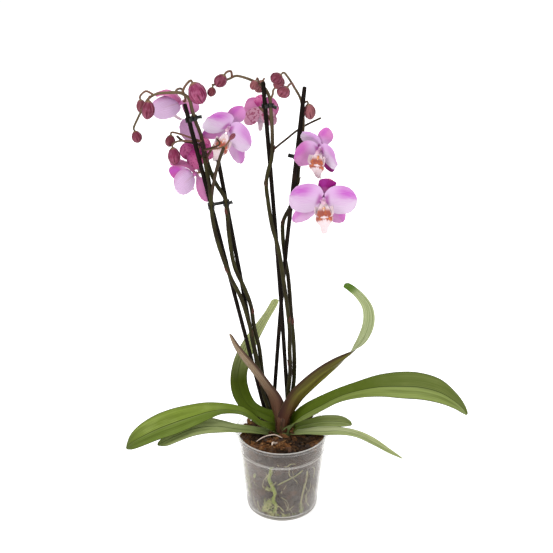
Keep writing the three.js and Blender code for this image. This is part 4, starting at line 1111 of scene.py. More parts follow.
def make_blooms():
    HUB_TINT = (0.5, 0, 0.2)
    petals = petal_material()
    lip = lip_material()
    for number, name in enumerate(BLOOMS):
        flower = Flower(name)
        bm = new_mesh()
        line = evenly([flower.at(0, 0, z) for z in (-HUB_BACK, -1.4, 0.6, HUB_FRONT)], 0.5)
        add_tube(bm, line, lambda s: flower.size * curve_value(HUB_GIRTH, s), 14, HUB_TINT)
        for k, (tepal, tint) in enumerate(zip(flower.tepals, BLOOM_TINTS[name])):
            is_petal = k in (1, 2)
            outline = PETAL_OUTLINE if is_petal else SEPAL_OUTLINE
            if name in HOODED and k == 0:
                outline = HOOD_OUTLINE
            depth = PETAL_DEPTH if is_petal else SEPAL_DEPTH
            add_tepal(bm, flower, tepal, depth, outline, tint, 7.7 * number + 2 * k)
        finish_piece(bm, name + "_tepals", petals, [name + "_petals"], 1)
        bm = new_mesh()
        add_lip(bm, flower)
        finish_piece(bm, name + "_labellum", lip, [name + "_lip"], 1)


# Spikes: the main stem's centre line, what its end carries, the heights of its joints, and its
# side shoots as radius, points and what they carry.
SPIKES = {
    "spike_left_front": {
        "stem": [
            (-15, 20, 88), (-16, 20, 106), (-18, 18, 131), (-24, 17, 153), (-29, 17, 188),
            (-35, 15.5, 222), (-40, 13, 251), (-50, 7, 293), (-62, 2, 323), (-70, 0, 348),
            (-76, -1.5, 370), (-80.5, -4.2, 395), (-82, -5.8, 412), (-82.2, -7.2, 426),
            (-84.2, -6.6, 447), (-87.2, -4.8, 467), (-91, 0, 492),
        ],
        "joints": [165, 240, 296, 333, 470],
        "shoots": [
            (1.7, [
                (-83, -4.6, 424), (-80, -8, 439), (-77, -13, 453), (-74, -19, 466),
                (-70, -26, 480), (-65, -32, 495),
            ]),
            (0.9, [(-65.5, -31, 493), (-69, -32, 500), (-73, -31, 505)]),
            (0.9, [(-65.5, -31, 493), (-63, -32, 497)], "bud_small"),
            (1.2, [
                (-90, -0.5, 486), (-95, 5, 487), (-104, 8, 488.5), (-113, 6, 491), (-120, 6, 497),
            ]),
            (1.0, [(-118.5, 6, 495.5)], "bud_shoot_upper"),
            (1.0, [(-113, 6, 491), (-119, 2, 491.5)], "bud_shoot_lower"),
            (1.2, [(-86, -3, 450), (-88, 3, 453), (-92, 6.5, 454)], "bloom_left_lower"),
            (1.2, [(-89, -1, 472), (-94, 3, 475), (-96.5, 9, 478)], "bloom_left_back"),
        ],
    },
    "spike_left_arch": {
        "stem": [
            (-8, 24, 88), (-12, 25.5, 106), (-16, 26, 128), (-21, 24, 153), (-25, 23, 178),
            (-29, 22, 217), (-35, 20, 247), (-38.5, 16, 278), (-46, 12, 304), (-57, 9, 333),
            (-63, 7, 374), (-65, 4.5, 409), (-67, 3.5, 424), (-77, 4, 441), (-83, 6, 456),
            (-87.5, 8.5, 472), (-93, 7.5, 499), (-97.5, 3, 514), (-101, -1.5, 530),
            (-103.5, -1.5, 541), (-112, -6.5, 549), (-125, -13, 551), (-139, -16, 550),
            (-147, -18, 545), (-153, -20, 535), (-159, -20.5, 524),
        ],
        "end": "bud_tail_end",
        "joints": [185, 270, 345, 405, 445],
        "shoots": [
            (1.2, [(-111, -6.5, 548.5), (-107, -8.5, 557)], "bud_large"),
            (1.0, [(-141, -16, 549.5), (-149, -14, 553)], "bud_tail_back"),
            (1.0, [(-144, -17, 547), (-144, -21, 549)], "bud_tail_front"),
            (0.9, [(-153, -20, 535), (-149.5, -20.5, 531), (-146.5, -21, 531)]),
            (1.2, [(-87, 8, 470), (-80, 13, 481), (-72, 17, 494)], "bloom_left"),
            (1.1, [(-118, -9.5, 550.5), (-116.5, -3, 552), (-112, 4, 551)], "bloom_far_left"),
        ],
    },
    "spike_centre": {
        "stem": [
            (5.5, 12, 88), (6, 11.5, 106), (6.5, 9.5, 130), (7, 9, 152), (10, 9, 193),
            (9, 8.5, 221), (9, 8, 250), (7, 7.5, 271), (2, 7.5, 311), (-4, 7, 353),
            (-7.5, 6.4, 369), (-12, 6, 386), (-17, 6, 418), (-19, 6, 440), (-17, 5.2, 455),
            (-13, 5.2, 469), (-12, 6.5, 480), (-12, 8.5, 502), (-13.5, 12, 524),
            (-15, 15.5, 538), (-21, 18.5, 549), (-32, 14, 557), (-42, 10, 562),
            (-52, 6, 565), (-58, 3, 563), (-67, 0, 560), (-77, -3, 557),
        ],
        "end": "bud_arch_end",
        "joints": [200, 262, 352, 438, 478],
        "shoots": [
            (1.1, [
                (-12, 6.6, 479), (-4, 11, 485), (4, 16, 490), (15, 20, 498), (27, 19, 506),
                (43, 12, 516),
            ]),
            (1.1, [(-15, 13.5, 535), (-11.5, 14, 542)], "bud_tip_back"),
            (0.9, [(-24, 17.5, 551.5)], "bud_pale"),
            (0.9, [(-27, 16, 554)], "bud_dark"),
            (1.1, [(-56, 4, 564.5), (-57, -2, 572)], "bud_arch"),
            (1.2, [(-12, 8.5, 505), (-14.5, 16, 513)], "bloom_behind"),
        ],
    },
    "spike_right": {
        "stem": [
            (14, 13, 88), (13.5, 13, 106), (11.5, 13, 130), (12, 13.5, 147), (15, 16, 174),
            (15, 20, 213), (11, 25, 263), (7, 30, 312), (3, 29.5, 338), (0, 28, 373),
            (1, 27, 386), (10, 22.5, 408), (17, 19.3, 437), (18.3, 17.8, 453),
            (21, 15.8, 482), (23, 13.8, 509), (22, 12.8, 525), (20, 12, 537), (12, 6, 553),
            (6, 0, 564),
        ],
        "end": "bud_tip_left",
        "joints": [180, 250, 325, 382, 436],
        "shoots": [
            (1.0, [(12, 6, 553), (10, 0, 558)], "bud_tip_right"),
            (1.0, [(22, 12.8, 525), (23.6, 12.6, 532.5)], "bud_by_stake"),
            (1.2, [(22, 14.5, 497), (29, 10, 499)], "bloom_right_upper"),
            (1.2, [(17, 19.3, 424), (26, 17, 431), (37, 8, 432)], "bloom_right"),
        ],
    },
}
STEM_GIRTH = [(0, 2.7), (0.55, 2.5), (0.78, 2.1), (1, 1.2)]
GAP = 0.35
CUT_END_LENGTH = 20
CUT_RADIUS = 2.5
DRY_RADIUS = 2.45
# A bract: share of its length, how far off the stem's centre line, and half width.
BRACT = [(0, 2.5, 2.2), (0.25, 2.9, 2.6), (0.6, 2.9, 1.9), (1, 3.4, 0.2)]


def approach(name):
    """Two points on a bloom's or bud's axis where its stalk comes in."""
    PAUSE = 2.6
    if name in BUDS:
        base, tip = Vector(BUDS[name][0]), Vector(BUDS[name][1])
        along = (tip - base).normalized()
        return [base - along * PAUSE, base + along * GAP]
    flower = Flower(name)
    back = -HUB_BACK * flower.size
    return [flower.centre + flower.out * (back - PAUSE), flower.centre + flower.out * (back + GAP)]


def stem_material():
    paint = Paint("stem", Roughness=0.6, Specular_IOR_Level=0.1)
    x, y, along = paint.split(paint.attribute("place"))
    fresh, dry, rosy = paint.split(paint.attribute("tint"))
    place = paint.place()
    height = paint.split(place)[2]
    patch = paint.noise(place, 45, 4)
    streak = paint.fibres((x, y, along), (2, 2, 30), 1.5, 3)
    skin = paint.mix(paint.between(patch, 0.38, 0.66), (0.026, 0.023, 0.006), (0.012, 0.007, 0.003))
    skin = paint.over(skin, (0.05, 0.048, 0.014), paint.between(streak, 0.45, 0.7), 0.5)
    high = paint.math("MAXIMUM", paint.between(height, 0.46, 0.56), fresh)
    skin = paint.over(skin, (0.16, 0.11, 0.065), high, 0.75)
    skin = paint.over(skin, (0.18, 0.05, 0.045), rosy, paint.between(patch, 0.3, 0.6))
    skin = paint.over(skin, (0.02, 0.011, 0.008), dry)
    paint.set("Base Color", skin)
    paint.bump(streak, 0.0003, 0.5)
    return paint.material


def add_bract(bm, line, height, side_turn):
    """The dry scale that clasps a stem at a joint."""
    LENGTH = 11
    THICKNESS = 0.6
    FOLD = -0.5
    TINT = (0, 0.25, 0.6)
    k = at_height(line, height)
    part = [p for p in line[k:] if (p - line[k]).length < LENGTH]
    ahead = (part[-1] - part[0]).normalized()
    out = (Matrix.Rotation(side_turn, 3, ahead) @ ahead.cross(Vector((0, 1, 0)))).normalized()
    rows = []
    for share, off, half in BRACT:
        centre = part[0] + (part[-1] - part[0]) * share + out * off
        rows.append((*centre, half, *out, FOLD))
    frames = blade_frames(smooth_curve(rows, 4))
    add_blade(bm, frames, 12, 10, lambda a, t: THICKNESS, TINT)


def make_spikes():
    STEP = 2.5
    TWIG_STEP = 1.6
    TURN_PER_JOINT = 2.4
    TWIG_FULLNESS = 1.15
    COLLAR = 0.25
    COLLAR_LENGTH = 3
    CARRYING = (1, 0, 0.45)
    BARE = (0.3, 0.5, 0.1)
    DRIED = (0, 1, 0)
    material = stem_material()
    for name, spike in SPIKES.items():
        cut = "end" not in spike
        points = [Vector(p) for p in spike["stem"]] + ([] if cut else approach(spike["end"]))
        line = evenly(smooth_curve(points), STEP)
        reach = STEP * (len(line) - 1)
        bm = new_mesh()
        if cut:
            kept = len(line) - round(CUT_END_LENGTH / STEP)
            add_tube(bm, line[: kept + 1], lambda s: CUT_RADIUS, 14, wobble=0.08)
            add_tube(bm, line[kept:], lambda s: DRY_RADIUS, 14, DRIED, (1, 0.9), 0.12)
        else:
            add_tube(bm, line, lambda s: curve_value(STEM_GIRTH, s / reach), 14, wobble=0.08)
        for number, height in enumerate(spike["joints"]):
            add_bract(bm, line, height, TURN_PER_JOINT * number)
        for girth, path, *carried in spike["shoots"]:
            own = [Vector(p) for p in path]
            end = approach(carried[0]) if carried else []
            twig = evenly(smooth_curve([nearest_on(line, own[0]), *own[1:], *end]), TWIG_STEP)
            tint = CARRYING if carried else BARE
            full = TWIG_FULLNESS * girth

            def twig_radius(s):
                return full * (1 + COLLAR * math.exp(-s / COLLAR_LENGTH))

            add_tube(bm, twig, twig_radius, 10, tint, wobble=0.05)
        finish_piece(bm, name + "_stem", material, [name])


# Clips: the rods that each holds, its height, and how far and which way its finger tab reaches.
CLIPS = {
    "clip_left_top": (["stake_far_left", "spike_left_arch"], 519, (7, -3, 2)),
    "clip_left_long": (
        ["spike_left_front", "stake_far_left", "stake_left", "spike_left_arch"], 416, (6, -3, 3),
    ),
    "clip_centre": (["stake_centre", "spike_centre"], 530, (6, -2, -2)),
    "clip_right": (["spike_right", "stake_right"], 470, (-8, -3, 3)),
}


def rod_centre(name, height):
    """Where a stake's or stem's centre line first rises through a height, and which way it goes."""
    line = smooth_curve(STAKES[name] if name in STAKES else SPIKES[name]["stem"], 30)
    k = at_height(line, height)
    share = (height - line[k].z) / (line[k + 1].z - line[k].z)
    return line[k].lerp(line[k + 1], share), (line[k + 1] - line[k]).normalized()


def add_block(bm, start, end, width, height):
    """Adds a bar of rounded rectangular section from start to end."""
    ROUNDING = 0.5
    made = bmesh.ops.create_cube(bm, size=1)["verts"]
    ahead = end - start
    side = ahead.cross(UP).normalized()
    over = side.cross(ahead).normalized()
    for vert in made:
        x, y, z = vert.co
        vert.co = (start + ahead * (x + 0.5) + side * (y * width) + over * (z * height)) * MM
    edges = list(dict.fromkeys(edge for vert in made for edge in vert.link_edges))
    bmesh.ops.bevel(
        bm, geom=edges, offset=ROUNDING * MM, affect="EDGES", segments=2, profile=0.5, material=-1
    )


def add_ring(bm, centre, ahead, radius, opening):
    """Adds a split ring of rectangular section round a rod; opening is the way its gap looks."""
    THICKNESS = 1.25
    HALF_HEIGHT = 2.3
    SWEEP = math.radians(300)
    first = opening.cross(ahead).cross(ahead).normalized() * -1
    first = Matrix.Rotation((2 * math.pi - SWEEP) / 2, 3, ahead) @ first
    section = []
    for out, rise in ((0, -1), (1, -1), (1, 1), (0, 1)):
        place = centre + first * (radius + out * THICKNESS) + ahead * (rise * HALF_HEIGHT)
        section.append(bm.verts.new(place * MM))
    face = bm.faces.new(section)
    bmesh.ops.spin(
        bm, geom=[face], cent=centre * MM, axis=ahead, angle=SWEEP, steps=20, use_duplicate=False
    )


def clip_material():
    paint = Paint("clip_plastic", Roughness=0.45, Specular_IOR_Level=0.3)
    grain = paint.noise(paint.place(), 900, 2)
    paint.set("Base Color", paint.mix(grain, (0.006, 0.007, 0.006), (0.016, 0.018, 0.015)))
    paint.bump(grain, 0.0001, 0.4)
    return paint.material


def make_clips():
    ROOM = 0.25
    HELD_STEM_RADIUS = 2.3
    TOWARDS_FRONT = Vector((0, -0.8, 0))
    LINK_START = 3
    LINK_SECTION = (1.6, 3.2)
    TAB_START = 2.6
    TAB_END = 1.15
    TAB_SECTION = (1.5, 3.4)
    KNOB_PLACE = 0.95
    KNOB_HALF_HEIGHT = UP * 2.4
    KNOB_SECTION = (2.2, 1.6)
    material = clip_material()
    for name, (rods, height, tab) in CLIPS.items():
        bm = new_mesh()
        held = [rod_centre(rod, height) for rod in rods]
        for number, (rod, (centre, ahead)) in enumerate(zip(rods, held)):
            radius = (STAKE_RADIUS if rod in STAKES else HELD_STEM_RADIUS) + ROOM
            neighbour = held[number - 1][0] if number else held[1][0]
            opening = (centre - neighbour).normalized() + TOWARDS_FRONT
            add_ring(bm, centre, ahead, radius, opening)
        for (start, _), (end, _) in zip(held, held[1:]):
            way = (end - start).normalized()
            add_block(bm, start + way * LINK_START, end - way * LINK_START, *LINK_SECTION)
        last, reach = held[-1][0], Vector(tab)
        near = last + reach.normalized() * TAB_START
        add_block(bm, near, last + reach * TAB_END, *TAB_SECTION)
        knob = last + reach * KNOB_PLACE
        add_block(bm, knob - KNOB_HALF_HEIGHT, knob + KNOB_HALF_HEIGHT, *KNOB_SECTION)
        finish_piece(bm, name + "_rings", material, [name])


# Pot: outer radius and height up the outside, then down the inside.
POT_OUTSIDE = [
    (43.1, 0), (44.6, 0.5), (45.8, 1.8), (46.2, 3.4), (46.4, 5), (50.2, 45), (54, 84.6),
    (54.4, 85.6), (55.2, 86.2), (55.5, 87.2), (55.2, 88.2), (54.5, 88.8), (54.6, 90),
    (55.9, 107.2), (56.6, 107.6), (59.2, 107.7), (59.8, 108.4), (60, 109.8), (59.9, 111.2),
    (59.2, 111.9), (58.2, 112),
]
POT_INSIDE = [
    (56.8, 111.8), (56, 111), (55.2, 104), (53.4, 88.6), (52.9, 86.4), (48.8, 42), (45, 4.2),
    (43.6, 2), (42, 1.6),
]
FLOOR = 1.6
INNER_TOP_RADIUS = 56
INNER_STEP_RADIUS = 53.2
INNER_FOOT_RADIUS = 44.6
STEP_HEIGHT = 86.5
POT_HEIGHT = 112
POT_SIDES = 28
# The nub on the ring at the step.
NUB_ANGLE = math.radians(-104)
NUB_HALF_TURN = 0.03
NUB_LOW = 85.8
NUB_HIGH = 88.6
NUB_FROM_RADIUS = 54.3
NUB_STRETCH = 1 + 0.9 / 55


def inner_radius(height):
    """The pot's inner radius at a height."""
    if height > STEP_HEIGHT:
        share = (height - STEP_HEIGHT) / (POT_HEIGHT - STEP_HEIGHT)
        return INNER_STEP_RADIUS + share * (INNER_TOP_RADIUS - INNER_STEP_RADIUS)
    share = (height - FLOOR) / (STEP_HEIGHT - FLOOR)
    return INNER_FOOT_RADIUS + share * (INNER_STEP_RADIUS - INNER_FOOT_RADIUS)


def pot_material():
    paint = Paint("clear_plastic", Roughness=0.25, Specular_IOR_Level=0.35, IOR=1.45)
    place = paint.place()
    height = paint.split(place)[2]
    haze = paint.noise(place, 26, 4)
    streaks = paint.noise(paint.stretched(place, (1, 1, 0.06)), 260, 3)
    facing = paint.node("ShaderNodeLayerWeight", {"Blend": 0.35}).outputs["Facing"]
    side = paint.math("POWER", facing, 1.7)
    tone = paint.mix(paint.between(haze, 0.35, 0.7), (0.2, 0.176, 0.16), (0.32, 0.29, 0.27))
    # Painted sheen: the wall's colour turns whitish where it is seen edge-on.
    tone = paint.over(tone, (0.68, 0.65, 0.62), paint.clamped(side, 1.5))
    flange = paint.between(height, 0.1074, 0.1078)
    lip = paint.between(height, 0.1116, 0.1119)
    ring = paint.between(paint.off(height, 0.0874), 0.001, 0.0002)
    # Painted darkness: a dark band round the thick foot, standing in for the way it refracts the
    # light.
    foot = paint.between(height, 0.0058, 0.0048)
    foot_line = paint.between(paint.off(height, 0.0066), 0.0008, 0.0002)
    tone = paint.over(tone, (0.12, 0.1, 0.065), foot)
    tone = paint.over(tone, (0.3, 0.29, 0.29), flange)
    # Painted highlights: whitish lines at the rim's lip, the ring at the step and the foot line.
    painted_highlight_lines = paint.math("MAXIMUM", lip, paint.math("MAXIMUM", ring, foot_line))
    tone = paint.over(tone, (0.82, 0.8, 0.76), painted_highlight_lines)
    paint.set("Base Color", tone)
    body = paint.times(side, 0.5, 0.07)
    body = paint.times(haze, 0.06, body)
    body = paint.times(paint.between(streaks, 0.5, 0.7), 0.06, body)
    body = paint.times(paint.between(height, 0.088, 0.09), 0.02, body)
    body = paint.times(foot, 0.4, body)
    body = paint.math("MULTIPLY_ADD", painted_highlight_lines, 0.3, body, clamp=True)
    paint.set("Alpha", body)
    paint.bump(haze, 0.0006, 0.15)
    return paint.material


def make_pot():
    STEPS = 144
    bm = new_mesh()
    add_turned(bm, [(0, 0), *POT_OUTSIDE, *POT_INSIDE, (0, FLOOR)], STEPS)
    for vert in bm.verts:
        turn = math.atan2(vert.co.y, vert.co.x) - NUB_ANGLE
        in_turn = abs(turn) < NUB_HALF_TURN and vert.co.xy.length > NUB_FROM_RADIUS * MM
        if in_turn and NUB_LOW < vert.co.z / MM < NUB_HIGH:
            vert.co.xy *= NUB_STRETCH
    pot = finish_piece(bm, "pot_shell", pot_material(), ["pot"])
    cut_drain_holes(pot)


def cut_drain_holes(pot):
    HOLE_COUNT = 6
    HOLE_RADIUS = 3.5
    HOLE_RING = 30
    CUTTER_DEPTH = 6
    bm = bmesh.new()
    for i in range(HOLE_COUNT):
        place = round_axis(HOLE_RING, 2 * math.pi * (i + 0.5) / HOLE_COUNT, FLOOR / 2) * MM
        bmesh.ops.create_cone(
            bm, cap_ends=True, segments=32, radius1=HOLE_RADIUS * MM, radius2=HOLE_RADIUS * MM,
            depth=CUTTER_DEPTH * MM, matrix=Matrix.Translation(place),
        )
    mesh = bpy.data.meshes.new("drain_cutter")
    bm.to_mesh(mesh)
    bm.free()
    cutter = bpy.data.objects.new("drain_cutter", mesh)
    bpy.context.scene.collection.objects.link(cutter)
    cut = pot.modifiers.new("drain", "BOOLEAN")
    cut.operation = "DIFFERENCE"
    cut.solver = "EXACT"
    cut.object = cutter
    graph = bpy.context.evaluated_depsgraph_get()
    pot.data = bpy.data.meshes.new_from_object(pot.evaluated_get(graph))
    pot.modifiers.remove(cut)
    bpy.data.objects.remove(cutter)
    smooth_by_angle(pot.data)


def smooth_by_angle(mesh):
    """Smooth faces, with sharp edges where they turn more than an angle."""
    SHARP_FROM = math.radians(35)
    bm = bmesh.new()
    bm.from_mesh(mesh)
    for edge in bm.edges:
        edge.smooth = len(edge.link_faces) == 2 and edge.calc_face_angle() < SHARP_FROM
    for face in bm.faces:
        face.smooth = True
    bm.to_mesh(mesh)
    bm.free()


# Roots: radius, tint (how green, cream and dark, where 1 for dark is bare and pale), points from
# the crown, then degrees and height on the wall.
ROOTS = [
    (
        2.3, (1, 0.25, 0), [(-2, -3, 99), (-8, -22, 92)],
        [
            (254, 85), (252.5, 76), (249.5, 66), (254, 56), (258.5, 44), (255.5, 32), (260, 22),
            (254.5, 10),
        ],
    ),
    (0.8, (0.6, 0.5, 0), [(2, -3, 99), (17, -25, 95)], [(304, 79), (292, 73), (278, 67), (262, 58)]),
    (
        1.2, (0.15, 0.6, 0.1), [(3, -2, 99), (20, -18, 92)],
        [(311, 74), (309.5, 62), (307, 49), (304, 35), (303, 20), (305, 9)],
    ),
    (1.8, (0.8, 0.6, 0), [(-9.2, -43.3, 33)], [(250, 31), (242, 22), (236, 12)]),
    (2.3, (0.3, 0.3, 0.4), [(-3, 0, 99), (-28, -8, 92)], [(196, 78), (200, 56), (206, 32)]),
    (2.3, (0.3, 0.4, 0.3), [(2, 2, 99), (26, 9, 91)], [(22, 76), (15, 52), (12, 28)]),
    (2.3, (0.5, 0.3, 0.2), [(-2, 2, 99), (-3, 26, 85)], [(88, 62), (92, 42), (100, 20)]),
]
ROOT_STEP = 2
# Roots that lie on the bark: radius and points.
SURFACE_ROOTS = [
    (
        0.62,
        [
            (1, -11, 103), (-1, -17, 109), (-9, -17, 113), (-17.6, -19, 113.4), (-25, -22, 112.2),
            (-33, -26.5, 109),
        ],
    ),
    (1.6, [(-2, -16, 103), (-8, -25, 105.5), (-12, -30.5, 110), (-13, -34.5, 108.8)]),
]
# Thin roots on the wall: a tangle at the front left, and others round the pot.
ROOTLETS = [
    {
        "count": 12, "degrees": (238, 262), "height": (10, 34), "radius": (0.4, 0.8),
        "tint": (0.5, 1, 0),
    },
    {
        "count": 26, "degrees": (150, 390), "height": (12, 92), "radius": (0.35, 0.7),
        "tint": (0.2, 0.5, 0.3),
    },
]
# Moss: degrees and height on the wall, how far it spreads both ways, and how many strands.
MOSS = [
    (248, 50, 6, 2.5, 40),
    (250, 30, 5, 4, 36),
    (245, 21, 6, 5, 60),
    (239, 13, 6, 5, 60),
    (252, 10, 8, 3, 36),
    (304, 10, 4, 4, 30),
    (302, 20, 2.5, 6, 16),
    (276, 7, 14, 2, 30),
    (225, 62, 3, 6, 14),
    (196, 30, 9, 14, 40),
    (20, 20, 12, 10, 50),
    (95, 16, 12, 9, 50),
    (150, 40, 6, 16, 40),
]
# The crown: share of its length and radius, then its creases as turn, depth and width.
CROWN_PROFILE = [
    (0, 0), (0.01, 5), (0.06, 7.2), (0.2, 8), (0.5, 9.4), (0.8, 10.8), (0.93, 10), (0.985, 6),
    (1, 0),
]
CROWN_CREASES = [(0.62, 0.16, 0.05), (0.05, 0.14, 0.07), (0.38, 0.1, 0.06)]


def root_line(radius, inner, on_wall):
    """A root's centre line: its inner points, then places on the wall."""
    FLAT = math.cos(math.pi / POT_SIDES)
    ROOM = 0.7
    TURN_ROOM = 3
    points = list(inner)
    for i, (degrees, height) in enumerate(on_wall):
        r = inner_radius(height) * FLAT - (TURN_ROOM if i == 0 else ROOM) - radius
        points.append(round_axis(r, math.radians(degrees), height))
    return evenly(smooth_curve(points, 10), ROOT_STEP)


def root_material():
    paint = Paint("root", Roughness=0.5, Specular_IOR_Level=0.35)
    green, cream, dark = paint.split(paint.attribute("tint"))
    place = paint.place()
    patch = paint.noise(place, 140, 3)
    rough = paint.noise(place, 900, 3)
    skin = paint.mix(green, (0.27, 0.22, 0.11), (0.2, 0.26, 0.008))
    skin = paint.over(skin, (0.5, 0.48, 0.2), paint.between(patch, 0.35, 0.65), cream)
    bare = paint.between(dark, 0.6, 0.9)
    dusky = paint.times(dark, paint.rest(bare))
    skin = paint.over(skin, (0.1, 0.06, 0.035), paint.between(patch, 0.65, 0.4), dusky)
    skin = paint.over(skin, (0.62, 0.5, 0.42), bare)
    skin = paint.over(skin, (0.4, 0.4, 0.3), paint.between(rough, 0.55, 0.75), 0.4)
    paint.set("Base Color", skin)
    paint.bump(rough, 0.0003, 0.6)
    return paint.material


def crown_material():
    paint = Paint("crown", Roughness=0.5, Specular_IOR_Level=0.15)
    place = paint.place()
    height = paint.split(place)[2]
    fibres = paint.noise(paint.stretched(place, (1, 1, 0.12)), 420, 3)
    patch = paint.noise(place, 90, 3)
    skin = paint.mix(paint.between(fibres, 0.35, 0.65), (0.03, 0.014, 0.009), (0.085, 0.04, 0.022))
    skin = paint.over(skin, (0.06, 0.055, 0.012), paint.between(patch, 0.5, 0.7), 0.6)
    low = paint.between(height, 0.113, 0.1)
    skin = paint.over(skin, (0.12, 0.09, 0.04), low, 0.7)
    paint.set("Base Color", skin)
    paint.bump(fibres, 0.0004, 0.6)
    return paint.material


def make_crown():
    CREASE_TWIST = 0.06
    along = (CROWN_TOP - CROWN_FOOT).normalized()
    side = along.cross(Vector((0, 1, 0))).normalized()
    other = along.cross(side)

    def shape(turn, share):
        r = straight_value(CROWN_PROFILE, share)
        for at, depth, width in CROWN_CREASES:
            gap = abs((turn - at - CREASE_TWIST * share + 0.5) % 1 - 0.5)
            r *= 1 - depth * math.exp(-((gap / width) ** 2))
        angle = 2 * math.pi * turn
        x, y = math.cos(angle), math.sin(angle)
        centre = CROWN_FOOT.lerp(CROWN_TOP, share)
        return centre + side * (x * r) + other * (y * r), (x, y, share)

    bm = new_mesh()
    add_skin(bm, 48, 26, shape)
    finish_piece(bm, "crown", crown_material(), ["crown_roots"], 1)


def add_rootlets(bm, source, group):
    """Adds thin roots that wander down the wall."""
    STRIDE = 5
    STEP = 1.4
    ROOM = 0.9
    LOW, HIGH = 5, 94
    DOWNWARDS = (-2.6, -0.4)
    STRAYING = 0.7
    for _ in range(group["count"]):
        radius = source.uniform(*group["radius"])
        degrees = source.uniform(*group["degrees"])
        height = source.uniform(*group["height"])
        heading = source.uniform(*DOWNWARDS)
        points = []
        for _ in range(source.randint(4, 7)):
            r = inner_radius(height) - ROOM - radius
            points.append(round_axis(r, math.radians(degrees), height))
            degrees += STRIDE * math.cos(heading)
            height = min(max(height + STRIDE * math.sin(heading), LOW), HIGH)
            heading += source.uniform(-STRAYING, STRAYING)
        line = evenly(smooth_curve(points, 6), STEP)
        add_tube(bm, line, lambda s: radius, 8, group["tint"], wobble=0.3)


def add_moss(bm, source, turn, level, turn_spread, level_spread, count):
    """Adds a patch of short strands on the wall."""
    ROOM = 1.3
    LOW, HIGH = 3.5, 96
    LOWEST_START = 4
    TURN_STRIDE = 1.3
    RISE_STRIDE = 1.1
    STRAYING = 1.2
    STEP = 1.2
    for _ in range(count):
        degrees = source.gauss(turn, turn_spread / 2)
        height = max(source.gauss(level, level_spread / 2), LOWEST_START)
        heading = source.uniform(0, 2 * math.pi)
        points = []
        for _ in range(4):
            height = min(max(height, LOW), HIGH)
            r = inner_radius(height) - ROOM - source.uniform(0, 1)
            points.append(round_axis(r, math.radians(degrees), height))
            degrees += TURN_STRIDE * math.cos(heading)
            height += RISE_STRIDE * math.sin(heading)
            heading += source.uniform(-STRAYING, STRAYING)
        strand = source.uniform(0.3, 0.75)
        tint = (source.uniform(0.7, 1), source.uniform(0, 0.9), 0)
        line = evenly(smooth_curve(points, 3), STEP)
        add_tube(bm, line, lambda s: strand, 6, tint, wobble=0.3)


def thinning(radius, reach, tip_share, length):
    """A root's radius along it: even, then less over about a length before its tip."""
    return lambda s: radius * min(1, tip_share + (reach - s) / length)


def make_roots():
    SURFACE_STEP = 1.5
    BARE = (0, 0, 1)
    source = random.Random(11)
    bm = new_mesh()
    for radius, tint, inner, on_wall in ROOTS:
        line = root_line(radius, inner, on_wall)
        reach = ROOT_STEP * (len(line) - 1)
        add_tube(bm, line, thinning(radius, reach, 0.35, 7), 14, tint, wobble=0.16)
    for radius, points in SURFACE_ROOTS:
        line = evenly(smooth_curve(points, 10), SURFACE_STEP)
        reach = SURFACE_STEP * (len(line) - 1)
        add_tube(bm, line, thinning(radius, reach, 0.3, 8), 12, BARE, wobble=0.14)
    for group in ROOTLETS:
        add_rootlets(bm, source, group)
    for patch in MOSS:
        add_moss(bm, source, *patch)
    finish_piece(bm, "roots", root_material(), ["crown_roots"])


# Bark: the height of its top, and how many chips lie on the wall, at the top and as crumbs.
BARK_TOP = 104
WALL_CHIPS = 330
TOP_CHIPS = 230
CRUMBS = 260
# Least and greatest length, width and thickness of each kind.
WALL_CHIP_SIZE = ((9, 19), (7, 12), (3.5, 6))
TOP_CHIP_SIZE = ((6, 19), (3.5, 9), (1.5, 4.5))
CRUMB_SIZE = ((2, 6), (1, 2.4), (0.8, 1.6))
# How warm the chips' brown is, on the wall and at the top.
WALL_WARMTH = 0.4
TOP_WARMTH = 1
# Room that chips keep to roots, to the pot's floor and to its wall.
ROOT_ROOM = 1.0
FLOOR_ROOM = 0.4
WALL_ROOM = 0.7
# The dark core that the chips lie on, dark as painted shade deep between them: radius and height.
BARK_CORE = [
    (0, 4), (38, 4), (47, STEP_HEIGHT), (48, 100), (40, BARK_TOP - 1.5), (0, BARK_TOP - 1),
]


def bark_material():
    paint = Paint("bark", Roughness=0.9, Specular_IOR_Level=0.1)
    warm, light, grey = paint.split(paint.attribute("tint"))
    place = paint.place()
    layers = paint.noise(paint.stretched(place, (1, 1, 2.6)), 210, 4, 0.65)
    crumbs = paint.noise(place, 700, 3, 0.7)
    wood = paint.mix(warm, (0.02, 0.011, 0.006), (0.23, 0.09, 0.028))
    wood = paint.over(wood, (0.42, 0.23, 0.095), paint.between(layers, 0.42, 0.7), light)
    wood = paint.over(wood, (0.012, 0.007, 0.005), paint.between(crumbs, 0.45, 0.62), 0.7)
    wood = paint.over(wood, (0.085, 0.065, 0.06), grey, 0.35)
    paint.set("Base Color", wood)
    height = paint.math("ADD", layers, paint.times(crumbs, 0.5))
    paint.bump(height, 0.0012, 0.7)
    return paint.material


def root_tree():
    """Every root's points and radius, to keep the chips off them."""
    found = []
    for radius, _, inner, on_wall in ROOTS:
        found += [(p, radius) for p in root_line(radius, inner, on_wall)]
    for radius, points in SURFACE_ROOTS:
        found += [(p, radius) for p in evenly(smooth_curve(points, 10), ROOT_STEP)]
    return found


def plain_chip():
    """A cube with each face in four, which every chip starts from."""
    bm = new_mesh()
    bmesh.ops.create_cube(bm, size=1)
    bmesh.ops.subdivide_edges(bm, edges=bm.edges, cuts=1, use_grid_fill=True)
    mesh = bpy.data.meshes.new("plain_chip")
    bm.to_mesh(mesh)
    bm.free()
    return mesh


